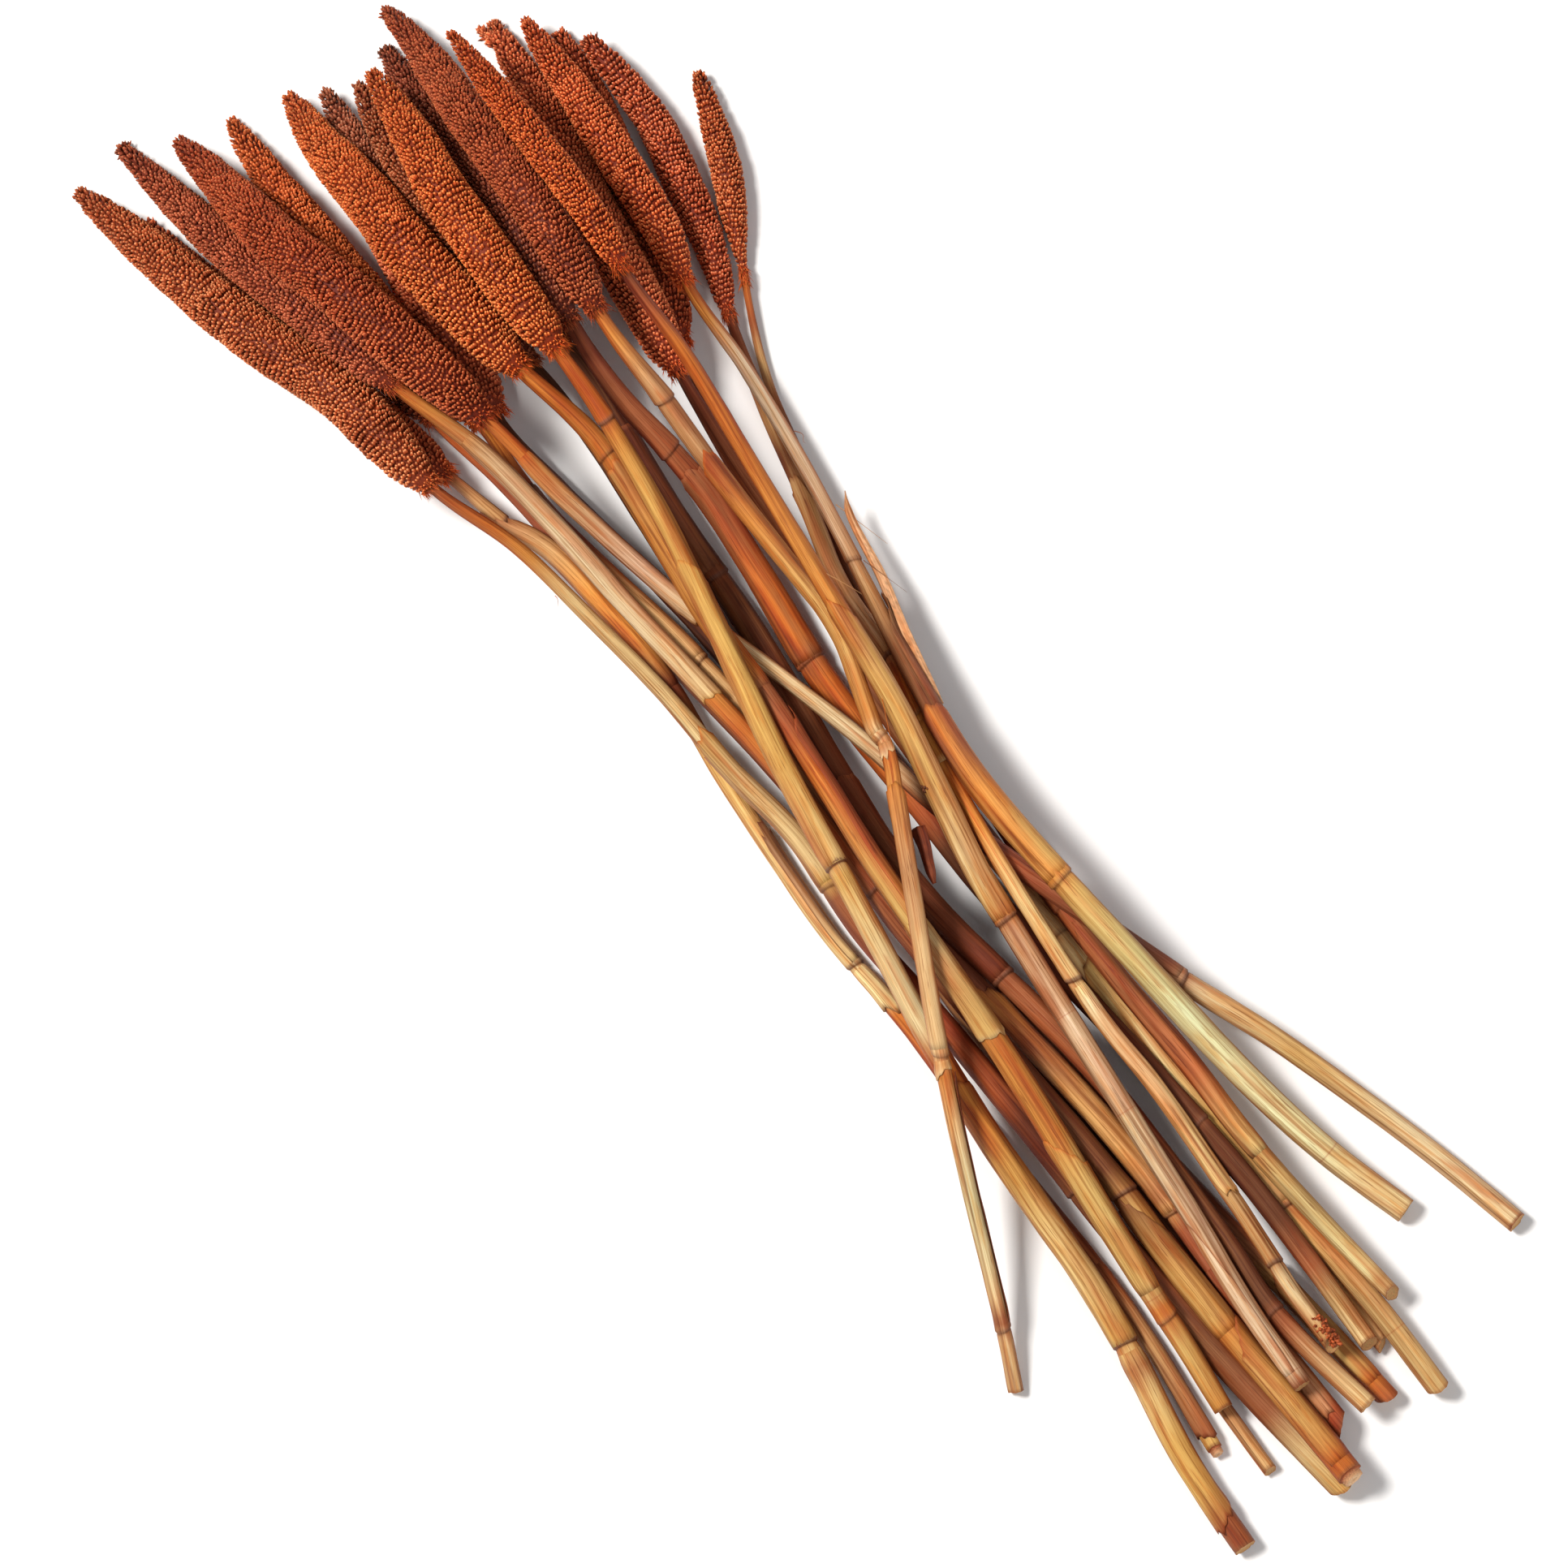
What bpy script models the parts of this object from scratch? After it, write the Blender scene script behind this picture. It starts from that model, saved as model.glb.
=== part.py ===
"""A loose bunch of cut, dried millet stalks lying flat: dense seed heads towards -X, cut ends towards +X.

Each stalk is a seed head and the stem that it grew on. The stalks cross about a third of the way down
and are piled on one another, so their routes are set out from above and their heights are worked out by
laying them down one by one, the lowest first.
"""
from dataclasses import dataclass, field

import bmesh
import bpy
import numpy as np

MM = 0.001                      # the sizes and places below are in millimetres

# ---------------------------------------------------------------- driving dimensions
STATION_STEP = 40.0             # between two rings of a stem's solid
SAMPLE_STEP = 4.0               # between the points where two stalks are kept apart
PIECE_GAP = 0.9                 # clear air between two crossing stalks
NECK_GAP = 0.9                  # clear air between a seed head and its stem
JOINT_HALF_LENGTH = 3.0         # of the swollen ring at a joint of the stem
JOINT_SWELL = 1.18              # the joint's radius over the stem's
HEAD_RESOLUTION = 3             # bevel resolution: ten sides round a seed head
STEM_RESOLUTION = 2             # eight sides round a stem

# seed heads' outlines: how far from the neck to the tip, and the radius there over the largest radius
OUTLINES = {
    "full": ((0.0, 0.42), (0.05, 0.78), (0.13, 0.94), (0.27, 1.0), (0.42, 1.0),
             (0.57, 0.98), (0.72, 0.87), (0.86, 0.66), (0.94, 0.47), (1.0, 0.2)),
    "spindle": ((0.0, 0.25), (0.05, 0.32), (0.16, 0.55), (0.3, 0.88), (0.5, 1.0),
                (0.7, 0.9), (0.9, 0.58), (1.0, 0.25)),
    "narrow_neck": ((0.0, 0.32), (0.05, 0.5), (0.15, 0.72), (0.3, 0.92), (0.45, 1.0),
                    (0.63, 0.94), (0.82, 0.78), (0.94, 0.6), (1.0, 0.35)),
}
STEM_RADIUS_AT = (0.0, 0.1, 0.3, 0.5, 0.75, 1.0)    # where along a stem its six radii are given

# how the stalks settle: springy rods that press on what they lie across
BENDING = 2.0e4
CONTACT = 1.0e4
STEM_WEIGHT = 0.02
HEAD_WEIGHT = 0.08

HEAD_FINISH = {"rust": (0.46, 0.117, 0.028), "mauve": (0.27, 0.078, 0.04),
               "orange": (0.48, 0.082, 0.008), "umber": (0.12, 0.03, 0.012)}
STEM_FINISH = {"straw": (0.78, 0.56, 0.29), "gold": (0.69, 0.4, 0.12), "tan": (0.56, 0.28, 0.11),
               "copper": (0.4, 0.11, 0.035), "umber": (0.13, 0.04, 0.018)}
HEAD_ROUGHNESS = 0.85
STEM_ROUGHNESS = 0.5


@dataclass
class Stalk:
    """One stalk from above: (x, y) places and radii, with the stem's route ending at its cut."""
    tip: tuple
    neck: tuple
    route: list
    head_radius: float
    stem_radii: tuple
    joints: tuple               # where along X the stem's swollen joints are
    head_finish: str
    stem_finish: str
    head_bend: list = field(default_factory=list)
    outline: str = "full"


# the lowest stalk is first; each is numbered by its place in this list
STALKS = [
    Stalk((-317, 6), (-192, -8), [(-177, -8), (-89, 4), (-64, 6), (-37, 7), (26, 8), (138, 6),
          (213, 8), (297, 12)], 10.5, (2.9, 3.2, 3.6, 4.2, 4.2, 3.8), (-37, 138), "umber", "umber"),
    Stalk((-343, 16), (-198, 16), [(-176, 17), (-147, 16), (-47, 8), (5, 5), (69, 6), (184, 22),
          (240, 28), (286, 33), (336, 38)], 9.0, (2.9, 3.4, 4.0, 4.5, 4.5, 4.5), (-18, 164), "umber",
          "gold", head_bend=[(-311, 13), (-266, 12), (-223, 12)]),
    Stalk((-335, -47), (-207, -29), [(-191, -27), (-175, -23), (-156, -21), (-83, -13), (-25, -6),
          (25, -2), (92, 5), (175, 14), (222, 16), (257, 15), (335, 17)], 9.5, (3.0, 3.6, 4.0, 4.6, 5.2,
          4.5), (44, 230), "mauve", "tan", head_bend=[(-302, -43), (-271, -37), (-240, -31)]),
    Stalk((-358, -22), (-191, -15), [(-147, -16), (-59, -3), (-10, 0), (135, -5), (182, -8),
          (240, -12), (293, -15), (332, -16)], 9.8, (3.0, 4.2, 4.4, 3.8, 3.4, 2.9), (-59, 135), "orange",
          "copper", head_bend=[(-339, -23), (-299, -23), (-267, -22), (-231, -20)]),
    Stalk((-305, 106), (-170, 69), [(-149, 64), (-108, 59), (-77, 54), (-1, 48), (121, 46), (197, 45),
          (280, 48), (319, 49)], 9.0, (2.9, 3.0, 3.4, 3.8, 3.6, 3.2), (-77, 181), "umber", "umber",
          head_bend=[(-285, 103), (-260, 97), (-214, 84), (-178, 72)]),
    Stalk((-324, 87), (-158, 61), [(-111, 56), (-75, 54), (-1, 45), (60, 44), (115, 47), (204, 48),
          (254, 52), (304, 56), (345, 56)], 9.8, (2.9, 3.8, 4.3, 4.5, 4.8, 4.8), (115, 254), "mauve", "tan",
          head_bend=[(-283, 82), (-240, 74), (-196, 67)]),
    Stalk((-345, -74), (-183, -38), [(-165, -32), (-154, -32), (-144, -27), (-122, -23), (-104, -20),
          (-63, -18), (-31, -22), (56, -27), (96, -24), (127, -25), (171, -24), (231, -22), (262, -23),
          (312, -28)], 9.0, (2.8, 4.0, 3.8, 3.5, 3.4, 3.1), (-153, 74), "mauve", "tan",
          head_bend=[(-322, -72), (-256, -56)]),
    Stalk((-373, -89), (-180, -46), [(-155, -37), (-139, -33), (-62, -22), (-18, -19), (0, -16),
          (20, -14), (66, -16), (107, -13), (175, -10), (230, -8), (269, -6), (312, -2), (353, 3)], 11.0,
          (2.8, 2.8, 4.0, 4.8, 5.4, 5.8), (46, 200), "rust", "straw", head_bend=[(-347, -83), (-315, -76),
          (-270, -65), (-230, -52), (-204, -49)]),
    Stalk((-330, 28), (-194, 31), [(-174, 31), (-121, 25), (-63, 22), (22, 13), (69, 11), (105, 16),
          (167, 24), (245, 25), (285, 23), (335, 30)], 9.2, (3.2, 5.0, 5.6, 5.2, 4.6, 4.0), (-85, 117, 285),
          "rust", "umber", head_bend=[(-306, 25), (-255, 23), (-217, 26)]),
    Stalk((-343, 46), (-196, 38), [(-175, 35), (-133, 39), (-104, 40), (-34, 33), (0, 32), (36, 33),
          (77, 33), (119, 36), (162, 40), (209, 44), (249, 46), (316, 45)], 9.6, (3.4, 4.2, 5.4, 4.6, 4.0,
          3.5), (-133, -34, 209), "mauve", "copper", head_bend=[(-317, 44), (-269, 45), (-223, 41)]),
    Stalk((-378, -64), (-218, -33), [(-199, -26), (-175, -21), (-139, -16), (-91, -12), (-23, -5),
          (8, -3), (68, -3), (146, 1), (212, 4), (248, 3), (286, 5), (352, 8)], 9.0, (3.3, 4.0, 4.1, 4.2,
          5.6, 5.8), (60, 212), "mauve", "straw", head_bend=[(-342, -59), (-292, -50), (-250, -39)]),
    Stalk((-256, 141), (-176, 105), [(-157, 95), (-132, 86), (-106, 80), (-43, 63), (-22, 60),
          (22, 58), (86, 53), (129, 53), (179, 55), (235, 56), (306, 64)], 6.5, (1.6, 1.9, 2.6, 4.0, 4.4,
          3.4), (107,), "rust", "copper", head_bend=[(-231, 132), (-212, 124), (-197, 116)],
          outline="spindle"),
    Stalk((-365, -44), (-185, -12), [(-166, -10), (-78, 7), (-48, 17), (-3, 27), (16, 33), (35, 36),
          (56, 40), (102, 54), (159, 73), (209, 92), (285, 114), (313, 120)], 11.0, (3.6, 3.6, 3.3, 4.2,
          4.6, 4.5), (-81, 159), "rust", "tan", head_bend=[(-333, -40), (-294, -36), (-257, -27),
          (-221, -20)]),
    Stalk((-349, 3), (-193, 11), [(-178, 15), (-148, 18), (-62, 10), (-16, 10), (29, 6), (81, 2),
          (99, 2), (160, -2), (216, -8), (261, -12), (278, -13), (302, -16)], 11.2, (4.0, 4.2, 4.4, 4.8,
          5.5, 3.9), (-146, 261), "rust", "gold", head_bend=[(-319, 2), (-280, 4), (-246, 5), (-225, 8),
          (-205, 9)]),
    Stalk((-293, 113), (-167, 91), [(-140, 83), (-94, 72), (-46, 60), (-14, 59), (12, 53), (60, 46),
          (149, 38), (185, 39), (252, 36), (287, 33), (308, 33)], 8.0, (2.4, 3.3, 3.5, 3.3, 3.3, 3.4), (-14,
          135, 270), "rust", "gold", head_bend=[(-267, 115), (-240, 113), (-219, 108), (-199, 103),
          (-181, 97)], outline="narrow_neck"),
    Stalk((-314, 98), (-186, 85), [(-155, 84), (-98, 78), (-11, 63), (25, 58), (58, 56), (134, 62),
          (207, 70), (233, 74), (283, 88)], 8.2, (2.9, 2.9, 3.1, 5.4, 5.8, 5.2), (-55, 101), "rust", "gold",
          head_bend=[(-301, 97), (-274, 96), (-241, 93), (-208, 90)]),
    Stalk((-327, 35), (-187, 27), [(-169, 27), (-128, 23), (-92, 17), (-53, 9), (2, -2), (63, -11),
          (131, -22), (168, -25), (242, -29), (274, -34), (333, -43), (350, -42)], 10.0, (3.7, 4.2, 4.4,
          4.6, 5.6, 4.8), (-154, 45, 259), "rust", "straw", head_bend=[(-297, 33), (-267, 29), (-238, 28),
          (-210, 27), (-194, 27)]),
    Stalk((-356, 56), (-190, 49), [(-177, 47), (-149, 49), (-130, 48), (-40, 49), (-23, 46), (10, 36),
          (16, 36), (72, 9), (135, -24), (185, -48), (225, -66), (247, -77)], 9.4, (3.5, 4.4, 3.4, 3.3, 3.3,
          3.2), (-147, 14, 128, 225), "mauve", "straw", head_bend=[(-326, 57), (-284, 55), (-254, 55),
          (-221, 53)]),
    Stalk((-320, 70), (-195, 67), [(-164, 67), (-78, 58), (-41, 54), (12, 48), (68, 36), (100, 32),
          (190, 24), (236, 20), (284, 15), (314, 14)], 6.7, (2.7, 3.1, 4.1, 5.1, 4.4, 3.8), (100,), "rust",
          "tan", head_bend=[(-303, 70), (-266, 70), (-233, 70), (-210, 69)]),
]

# dry strips of leaf beside a stem: name, host stalk, route, radius and height over the host at both ends
LEAVES = (
    ("curled_leaf", 16, [(-80, 85), (-72, 81), (-57, 78), (-41, 76), (-25, 73), (-10, 70)],
     (0.8, 1.8), (1.0, -2.0)),
    ("dead_leaf", 18, [(51, 26), (58, 24), (65, 21), (73, 18)], (1.9, 1.2), (-6.0, -6.5)),
)


# ---------------------------------------------------------------- routes
def smooth_route(points, step=1.0):
    """Points about step apart on a curve through every given point (Catmull-Rom)."""
    knots = np.array(points, dtype=float)
    first = 2 * knots[0] - knots[1]
    last = 2 * knots[-1] - knots[-2]
    knots = np.vstack([first, knots, last])
    route = []
    for before, start, end, after in zip(knots, knots[1:], knots[2:], knots[3:]):
        length = np.linalg.norm(end - start)
        leave = (end - before) * length / np.linalg.norm(end - before)
        arrive = (after - start) * length / np.linalg.norm(after - start)
        for t in np.arange(0.0, 1.0, step / length):
            route.append((2 * t**3 - 3 * t**2 + 1) * start + (t**3 - 2 * t**2 + t) * leave
                         + (3 * t**2 - 2 * t**3) * end + (t**3 - t**2) * arrive)
    route.append(knots[-2])
    return np.array(route)


def travelled(route):
    """The distance from the route's start to each of its points."""
    return np.concatenate([[0.0], np.cumsum(np.linalg.norm(np.diff(route, axis=0), axis=1))])


def on_route(route, distances):
    """The (x, y) places at these distances along the route."""
    along = travelled(route)
    return np.column_stack([np.interp(distances, along, route[:, axis]) for axis in (0, 1)])


class Rod:
    """A stalk as the solids see it: straight between stations, each with a place, a radius and a height."""

    def __init__(self, stalk):
        route = smooth_route([stalk.tip, *stalk.head_bend, stalk.neck, *stalk.route])
        along = travelled(route)
        neck_at = along[np.argmin(np.linalg.norm(route - np.array(stalk.neck), axis=1))]
        outline = OUTLINES[stalk.outline][::-1]
        head_at = [neck_at * (1.0 - share) for share, _ in outline]
        head_radii = [stalk.head_radius * factor for _, factor in outline]

        def stem_radius(distance):
            share = (distance - neck_at) / (along[-1] - neck_at)
            return np.interp(share, STEM_RADIUS_AT, stalk.stem_radii)

        stem_at = list(np.linspace(neck_at, along[-1], round((along[-1] - neck_at) / STATION_STEP) + 1))
        joint_at = [along[np.argmin(np.abs(route[:, 0] - x))] for x in stalk.joints]
        clear = 3 * JOINT_HALF_LENGTH
        stem_at = [d for d in stem_at if all(abs(d - joint) > clear for joint in joint_at) or d in
                   (stem_at[0], stem_at[-1])]
        stations = [(d, stem_radius(d)) for d in stem_at]
        for joint in joint_at:
            stations += [(joint - JOINT_HALF_LENGTH, stem_radius(joint)),
                         (joint, stem_radius(joint) * JOINT_SWELL),
                         (joint + JOINT_HALF_LENGTH, stem_radius(joint))]
        stations.sort()
        distances = np.array(head_at[:-1] + [d for d, _ in stations])
        self.head_rings = len(head_at)
        self.head_radii = head_radii
        self.radii = np.array(head_radii[:-1] + [radius for _, radius in stations])
        self.along = distances
        self.places = on_route(route, distances)
        self.heights = self.radii.copy()
        self.weights = np.gradient(distances) * np.where(distances < neck_at, HEAD_WEIGHT, STEM_WEIGHT)
        self.sample()

    def sample(self):
        """Closely spaced points on the straight runs, as weights on the stations."""
        count = len(self.along)
        close = np.arange(0.0, self.along[-1], SAMPLE_STEP)
        self.blend = np.array([np.interp(close, self.along, row) for row in np.eye(count)]).T
        self.sample_places = self.blend @ self.places
        self.sample_radii = self.blend @ self.radii
        # the neck is a step in radius: the seed head's base counts as full there
        near_neck = np.abs(close - self.along[self.head_rings - 1]) < SAMPLE_STEP
        self.sample_radii[near_neck] = np.maximum(self.sample_radii[near_neck], self.head_radii[-1])

    def curvature(self):
        """The matrix that turns station heights into bending energy."""
        count = len(self.along)
        energy = np.zeros((count, count))
        for i in range(1, count - 1):
            before = self.along[i] - self.along[i - 1]
            after = self.along[i + 1] - self.along[i]
            mean = (before + after) / 2
            row = np.zeros(count)
            row[i - 1:i + 2] = 1 / before / mean, -(1 / before + 1 / after) / mean, 1 / after / mean
            energy += BENDING * mean * np.outer(row, row)
        return energy


# ---------------------------------------------------------------- heights
def height_over(upper, lower):
    """How high the upper rod's samples must be to clear the lower rod."""
    apart = np.linalg.norm(upper.sample_places[:, None] - lower.sample_places[None], axis=2)
    reach = upper.sample_radii[:, None] + lower.sample_radii[None] + PIECE_GAP
    rise = np.sqrt(np.maximum(reach**2 - apart**2, 0.0))
    top = (lower.blend @ lower.heights)[None] + rise
    return np.where(apart < reach, top, 0.0).max(axis=1)


def lay(rod, needed):
    """Let a springy rod come to rest on the heights that its samples need."""
    energy = rod.curvature() + 1e-6 * np.eye(len(rod.along))
    heights = np.zeros(len(rod.along))
    for _ in range(40):
        pressed = rod.blend[rod.blend @ heights < needed]
        support = needed[rod.blend @ heights < needed]
        heights = np.linalg.solve(energy + CONTACT * pressed.T @ pressed,
                                  CONTACT * pressed.T @ support - rod.weights)
    rod.heights = heights + max(0.0, (needed - rod.blend @ heights).max())


def settle(rods):
    for number, rod in enumerate(rods):
        needed = rod.sample_radii.copy()
        for lower in rods[:number]:
            needed = np.maximum(needed, height_over(rod, lower))
        lay(rod, needed)


# ---------------------------------------------------------------- solids
def material(name, colour, roughness):
    finish = bpy.data.materials.new(name)
    finish.use_nodes = True
    shader = finish.node_tree.nodes["Principled BSDF"]
    shader.inputs["Base Color"].default_value = (*colour, 1.0)
    shader.inputs["Roughness"].default_value = roughness
    shader.inputs["Metallic"].default_value = 0.0
    finish.diffuse_color = (*colour, 1.0)
    return finish


def tube(name, places, radii, resolution, finish, collection):
    """A closed tube through the places, in millimetres, with a radius at each."""
    curve = bpy.data.curves.new(name, "CURVE")
    curve.dimensions = "3D"
    curve.bevel_depth = MM
    curve.bevel_resolution = resolution
    curve.use_fill_caps = True
    spline = curve.splines.new("POLY")
    spline.points.add(len(places) - 1)
    for point, place, radius in zip(spline.points, places, radii):
        point.co = (place[0] * MM, place[1] * MM, place[2] * MM, 1.0)
        point.radius = radius
    drawn = bpy.data.objects.new(name + "_curve", curve)
    collection.objects.link(drawn)
    graph = bpy.context.evaluated_depsgraph_get()
    mesh = bpy.data.meshes.new_from_object(drawn.evaluated_get(graph))
    solid = bpy.data.objects.new(name, mesh)
    solid.matrix_world = drawn.matrix_world
    bpy.data.objects.remove(drawn)
    weld = bmesh.new()
    weld.from_mesh(mesh)
    bmesh.ops.remove_doubles(weld, verts=weld.verts, dist=0.01 * MM)
    bmesh.ops.recalc_face_normals(weld, faces=weld.faces)
    weld.to_mesh(mesh)
    weld.free()
    mesh.materials.clear()
    mesh.materials.append(finish)
    collection.objects.link(solid)
    return solid


def build_stalk(number, stalk, rod, collection):
    """The seed head and the stem of one stalk, with a hair of air between them at the neck."""
    places = np.column_stack([rod.places, rod.heights])
    neck = rod.head_rings - 1
    head = places[:neck + 1].copy()
    toward_tip = head[-2] - head[-1]
    head[-1] += toward_tip / np.linalg.norm(toward_tip) * NECK_GAP
    tube(f"seed_head_{number:02d}", head, rod.head_radii, HEAD_RESOLUTION,
         material(f"seed_head_{number:02d}", HEAD_FINISH[stalk.head_finish], HEAD_ROUGHNESS), collection)
    tube(f"stem_{number:02d}", places[neck:], rod.radii[neck:], STEM_RESOLUTION,
         material(f"stem_{number:02d}", STEM_FINISH[stalk.stem_finish], STEM_ROUGHNESS), collection)


def build_leaf(name, host, route, end_radii, end_lifts, collection):
    """A dry strip that keeps to the height of the stem it grew on."""
    path = smooth_route(route)
    along = travelled(path)
    distances = np.linspace(0.0, along[-1], 2 * len(route) - 1)
    places = on_route(path, distances)
    radii = np.interp(distances, (0.0, along[-1]), end_radii)
    lifts = np.interp(distances, (0.0, along[-1]), end_lifts)
    host_heights = host.blend @ host.heights
    nearest = [np.argmin(np.linalg.norm(host.sample_places - place, axis=1)) for place in places]
    heights = host_heights[nearest] + lifts
    tube(name, np.column_stack([places, heights]), radii, 1,
         material(name, STEM_FINISH["umber"], STEM_ROUGHNESS), collection)


def rest_on_ground(collection):
    """Move the whole bunch so that it stands on Z = 0 with its box centred over the origin."""
    corners = np.array([solid.matrix_world @ vertex.co for solid in collection.objects
                        for vertex in solid.data.vertices])
    low = corners.min(axis=0)
    high = corners.max(axis=0)
    shift = np.array([-(low[0] + high[0]) / 2, -(low[1] + high[1]) / 2, -low[2]])
    for solid in collection.objects:
        for vertex in solid.data.vertices:
            vertex.co = np.array(vertex.co) + shift


def build():
    for leftover in list(bpy.data.objects):
        bpy.data.objects.remove(leftover)
    bunch = bpy.data.collections.new("dried_millet_bunch")
    bpy.context.scene.collection.children.link(bunch)
    rods = [Rod(stalk) for stalk in STALKS]
    settle(rods)
    for number, (stalk, rod) in enumerate(zip(STALKS, rods), start=1):
        build_stalk(number, stalk, rod, bunch)
    for name, host, route, end_radii, end_lifts in LEAVES:
        build_leaf(name, rods[host - 1], route, end_radii, end_lifts, bunch)
    rest_on_ground(bunch)


build()
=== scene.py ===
"""The looks of a loose bunch of dried millet stalks: seeds on every head, ribbed stems with torn sheaths.

Lengths are in mm until Shape.to_piece turns them into metres. X runs from the tips of the heads to the cut
ends of the stems. Distances along a stalk, often s, are from the tip of its head. Angles round it are from
straight up towards +Y.
"""
import math

import bpy
import numpy as np
from mathutils import Matrix, Vector


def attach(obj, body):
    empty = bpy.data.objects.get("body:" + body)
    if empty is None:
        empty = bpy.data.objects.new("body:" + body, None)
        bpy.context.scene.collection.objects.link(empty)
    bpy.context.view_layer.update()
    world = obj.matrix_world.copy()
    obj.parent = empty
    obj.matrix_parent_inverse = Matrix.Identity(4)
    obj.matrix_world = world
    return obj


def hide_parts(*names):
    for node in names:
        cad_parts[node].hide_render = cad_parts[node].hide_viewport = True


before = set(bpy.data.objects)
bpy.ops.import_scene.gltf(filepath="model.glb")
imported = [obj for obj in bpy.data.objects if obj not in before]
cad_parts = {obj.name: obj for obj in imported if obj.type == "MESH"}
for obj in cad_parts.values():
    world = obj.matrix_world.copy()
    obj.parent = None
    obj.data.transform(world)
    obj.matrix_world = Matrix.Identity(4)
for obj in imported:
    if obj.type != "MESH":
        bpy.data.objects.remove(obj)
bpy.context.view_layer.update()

MM = 0.001
STALK_COUNT = 19
HEAD_SIDES, STEM_SIDES, LEAF_SIDES = 10, 8, 6   # of the plain solids in the frame
JOINT_BULGE = 1.1               # a ring this much wider than its neighbours is a joint
PRESSED = 0.1                   # the share of its depth left to what reaches below the floor
FINE_STEP = 0.5                 # between the points of a centre line
CHORD = 3.0                     # half the length over which a line's direction is taken
UP = np.array([0.0, 0.0, 1.0])
PLAIN = (1.0, 1.0, 1.0)         # the tone of a stalk that has none of its own
HEAD_DRAWS, STEM_DRAWS, SPLIT_DRAWS = 100, 200, 800     # seeds of the random draws, plus a stalk's number

# ---------------------------------------------------------------- colours (linear)
COLOURS = {
    "cream": (0.84, 0.65, 0.40), "straw": (0.78, 0.52, 0.24), "gold": (0.68, 0.38, 0.11),
    "honey": (0.58, 0.28, 0.085), "olive": (0.64, 0.48, 0.19), "sage": (0.70, 0.60, 0.31),
    "drab": (0.50, 0.30, 0.12), "amber": (0.66, 0.25, 0.045), "orange": (0.58, 0.15, 0.018),
    "rust": (0.40, 0.085, 0.022), "tan": (0.56, 0.28, 0.11), "rose": (0.66, 0.36, 0.19),
    "blush": (0.78, 0.52, 0.32), "copper": (0.36, 0.105, 0.036), "brown": (0.24, 0.080, 0.026),
    "oxblood": (0.19, 0.040, 0.012), "umber": (0.13, 0.038, 0.012), "slate": (0.15, 0.070, 0.048),
    "pale": (0.84, 0.70, 0.37),
}
# seed heads: in the gaps (painted shade), on the seeds' sides and on their crowns (a painted highlight)
HEAD_COLOURS = {
    "seed_head_rust": ((0.15, 0.016, 0.004), (0.40, 0.060, 0.014), (0.88, 0.30, 0.12)),
    "seed_head_orange": ((0.17, 0.016, 0.003), (0.49, 0.077, 0.011), (0.94, 0.26, 0.062)),
    "seed_head_mauve": ((0.12, 0.014, 0.005), (0.32, 0.054, 0.018), (0.70, 0.222, 0.095)),
    "seed_head_umber": ((0.13, 0.015, 0.005), (0.36, 0.060, 0.019), (0.72, 0.205, 0.084)),
}


# ---------------------------------------------------------------- numbers and noise
def noise(points, scale, seed):
    """Smooth noise, -1 to 1, at points (n, 3); scale is the size of its patches."""
    table = np.random.default_rng(seed).uniform(-1.0, 1.0, (16, 16, 16))
    place = np.asarray(points, dtype=float) / scale + 8.0
    cell = np.floor(place).astype(int)
    part = place - cell
    part = part * part * (3.0 - 2.0 * part)
    total = np.zeros(len(place))
    for corner in np.ndindex(2, 2, 2):
        weight = np.prod(np.where(corner, part, 1.0 - part), axis=1)
        x, y, z = ((cell + corner) % 16).T
        total += weight * table[x, y, z]
    return total


def grid_noise(x, y, z, scale, seed):
    """Smooth noise over arrays of coordinates, in their shape."""
    return noise(np.stack([x, y, z], -1).reshape(-1, 3), scale, seed).reshape(x.shape)


def ease(values, low, high):
    """0 at low, 1 at high, and smooth between them; low may be the larger."""
    share = np.clip((np.asarray(values, dtype=float) - low) / (high - low), 0.0, 1.0)
    return share * share * (3.0 - 2.0 * share)


def unit(vectors):
    """The vectors at length 1."""
    return vectors / np.linalg.norm(vectors, axis=-1, keepdims=True)


def turned(start, toward, angle):
    """Unit vectors turned by an angle towards others that are at right angles to them."""
    return start * np.cos(angle)[..., None] + toward * np.sin(angle)[..., None]


# ---------------------------------------------------------------- centre lines
def rings(node, sides):
    """The rings of a plain tube in the frame, from its -X end: their centres and radii."""
    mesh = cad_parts[node].data
    corners = np.array([vertex.co for vertex in mesh.vertices]) / MM
    places, merged = np.unique(np.round(corners, 3), axis=0, return_inverse=True)
    merged = merged.reshape(-1)
    near = [set() for _ in places]
    for face in mesh.polygons:
        ids = [merged[v] for v in face.vertices]
        for a in ids:
            near[a].update(ids)
    level = set(np.argsort(places[:, 0])[:sides].tolist())
    seen = set()
    found = []
    while level:
        found.append(places[sorted(level)])
        seen |= level
        level = set().union(*(near[v] for v in level)) - seen
    centres = [ring.mean(axis=0) for ring in found]
    radii = [np.linalg.norm(ring - centre, axis=1).min() for ring, centre in zip(found, centres)]
    return np.array(centres), np.array(radii)


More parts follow.
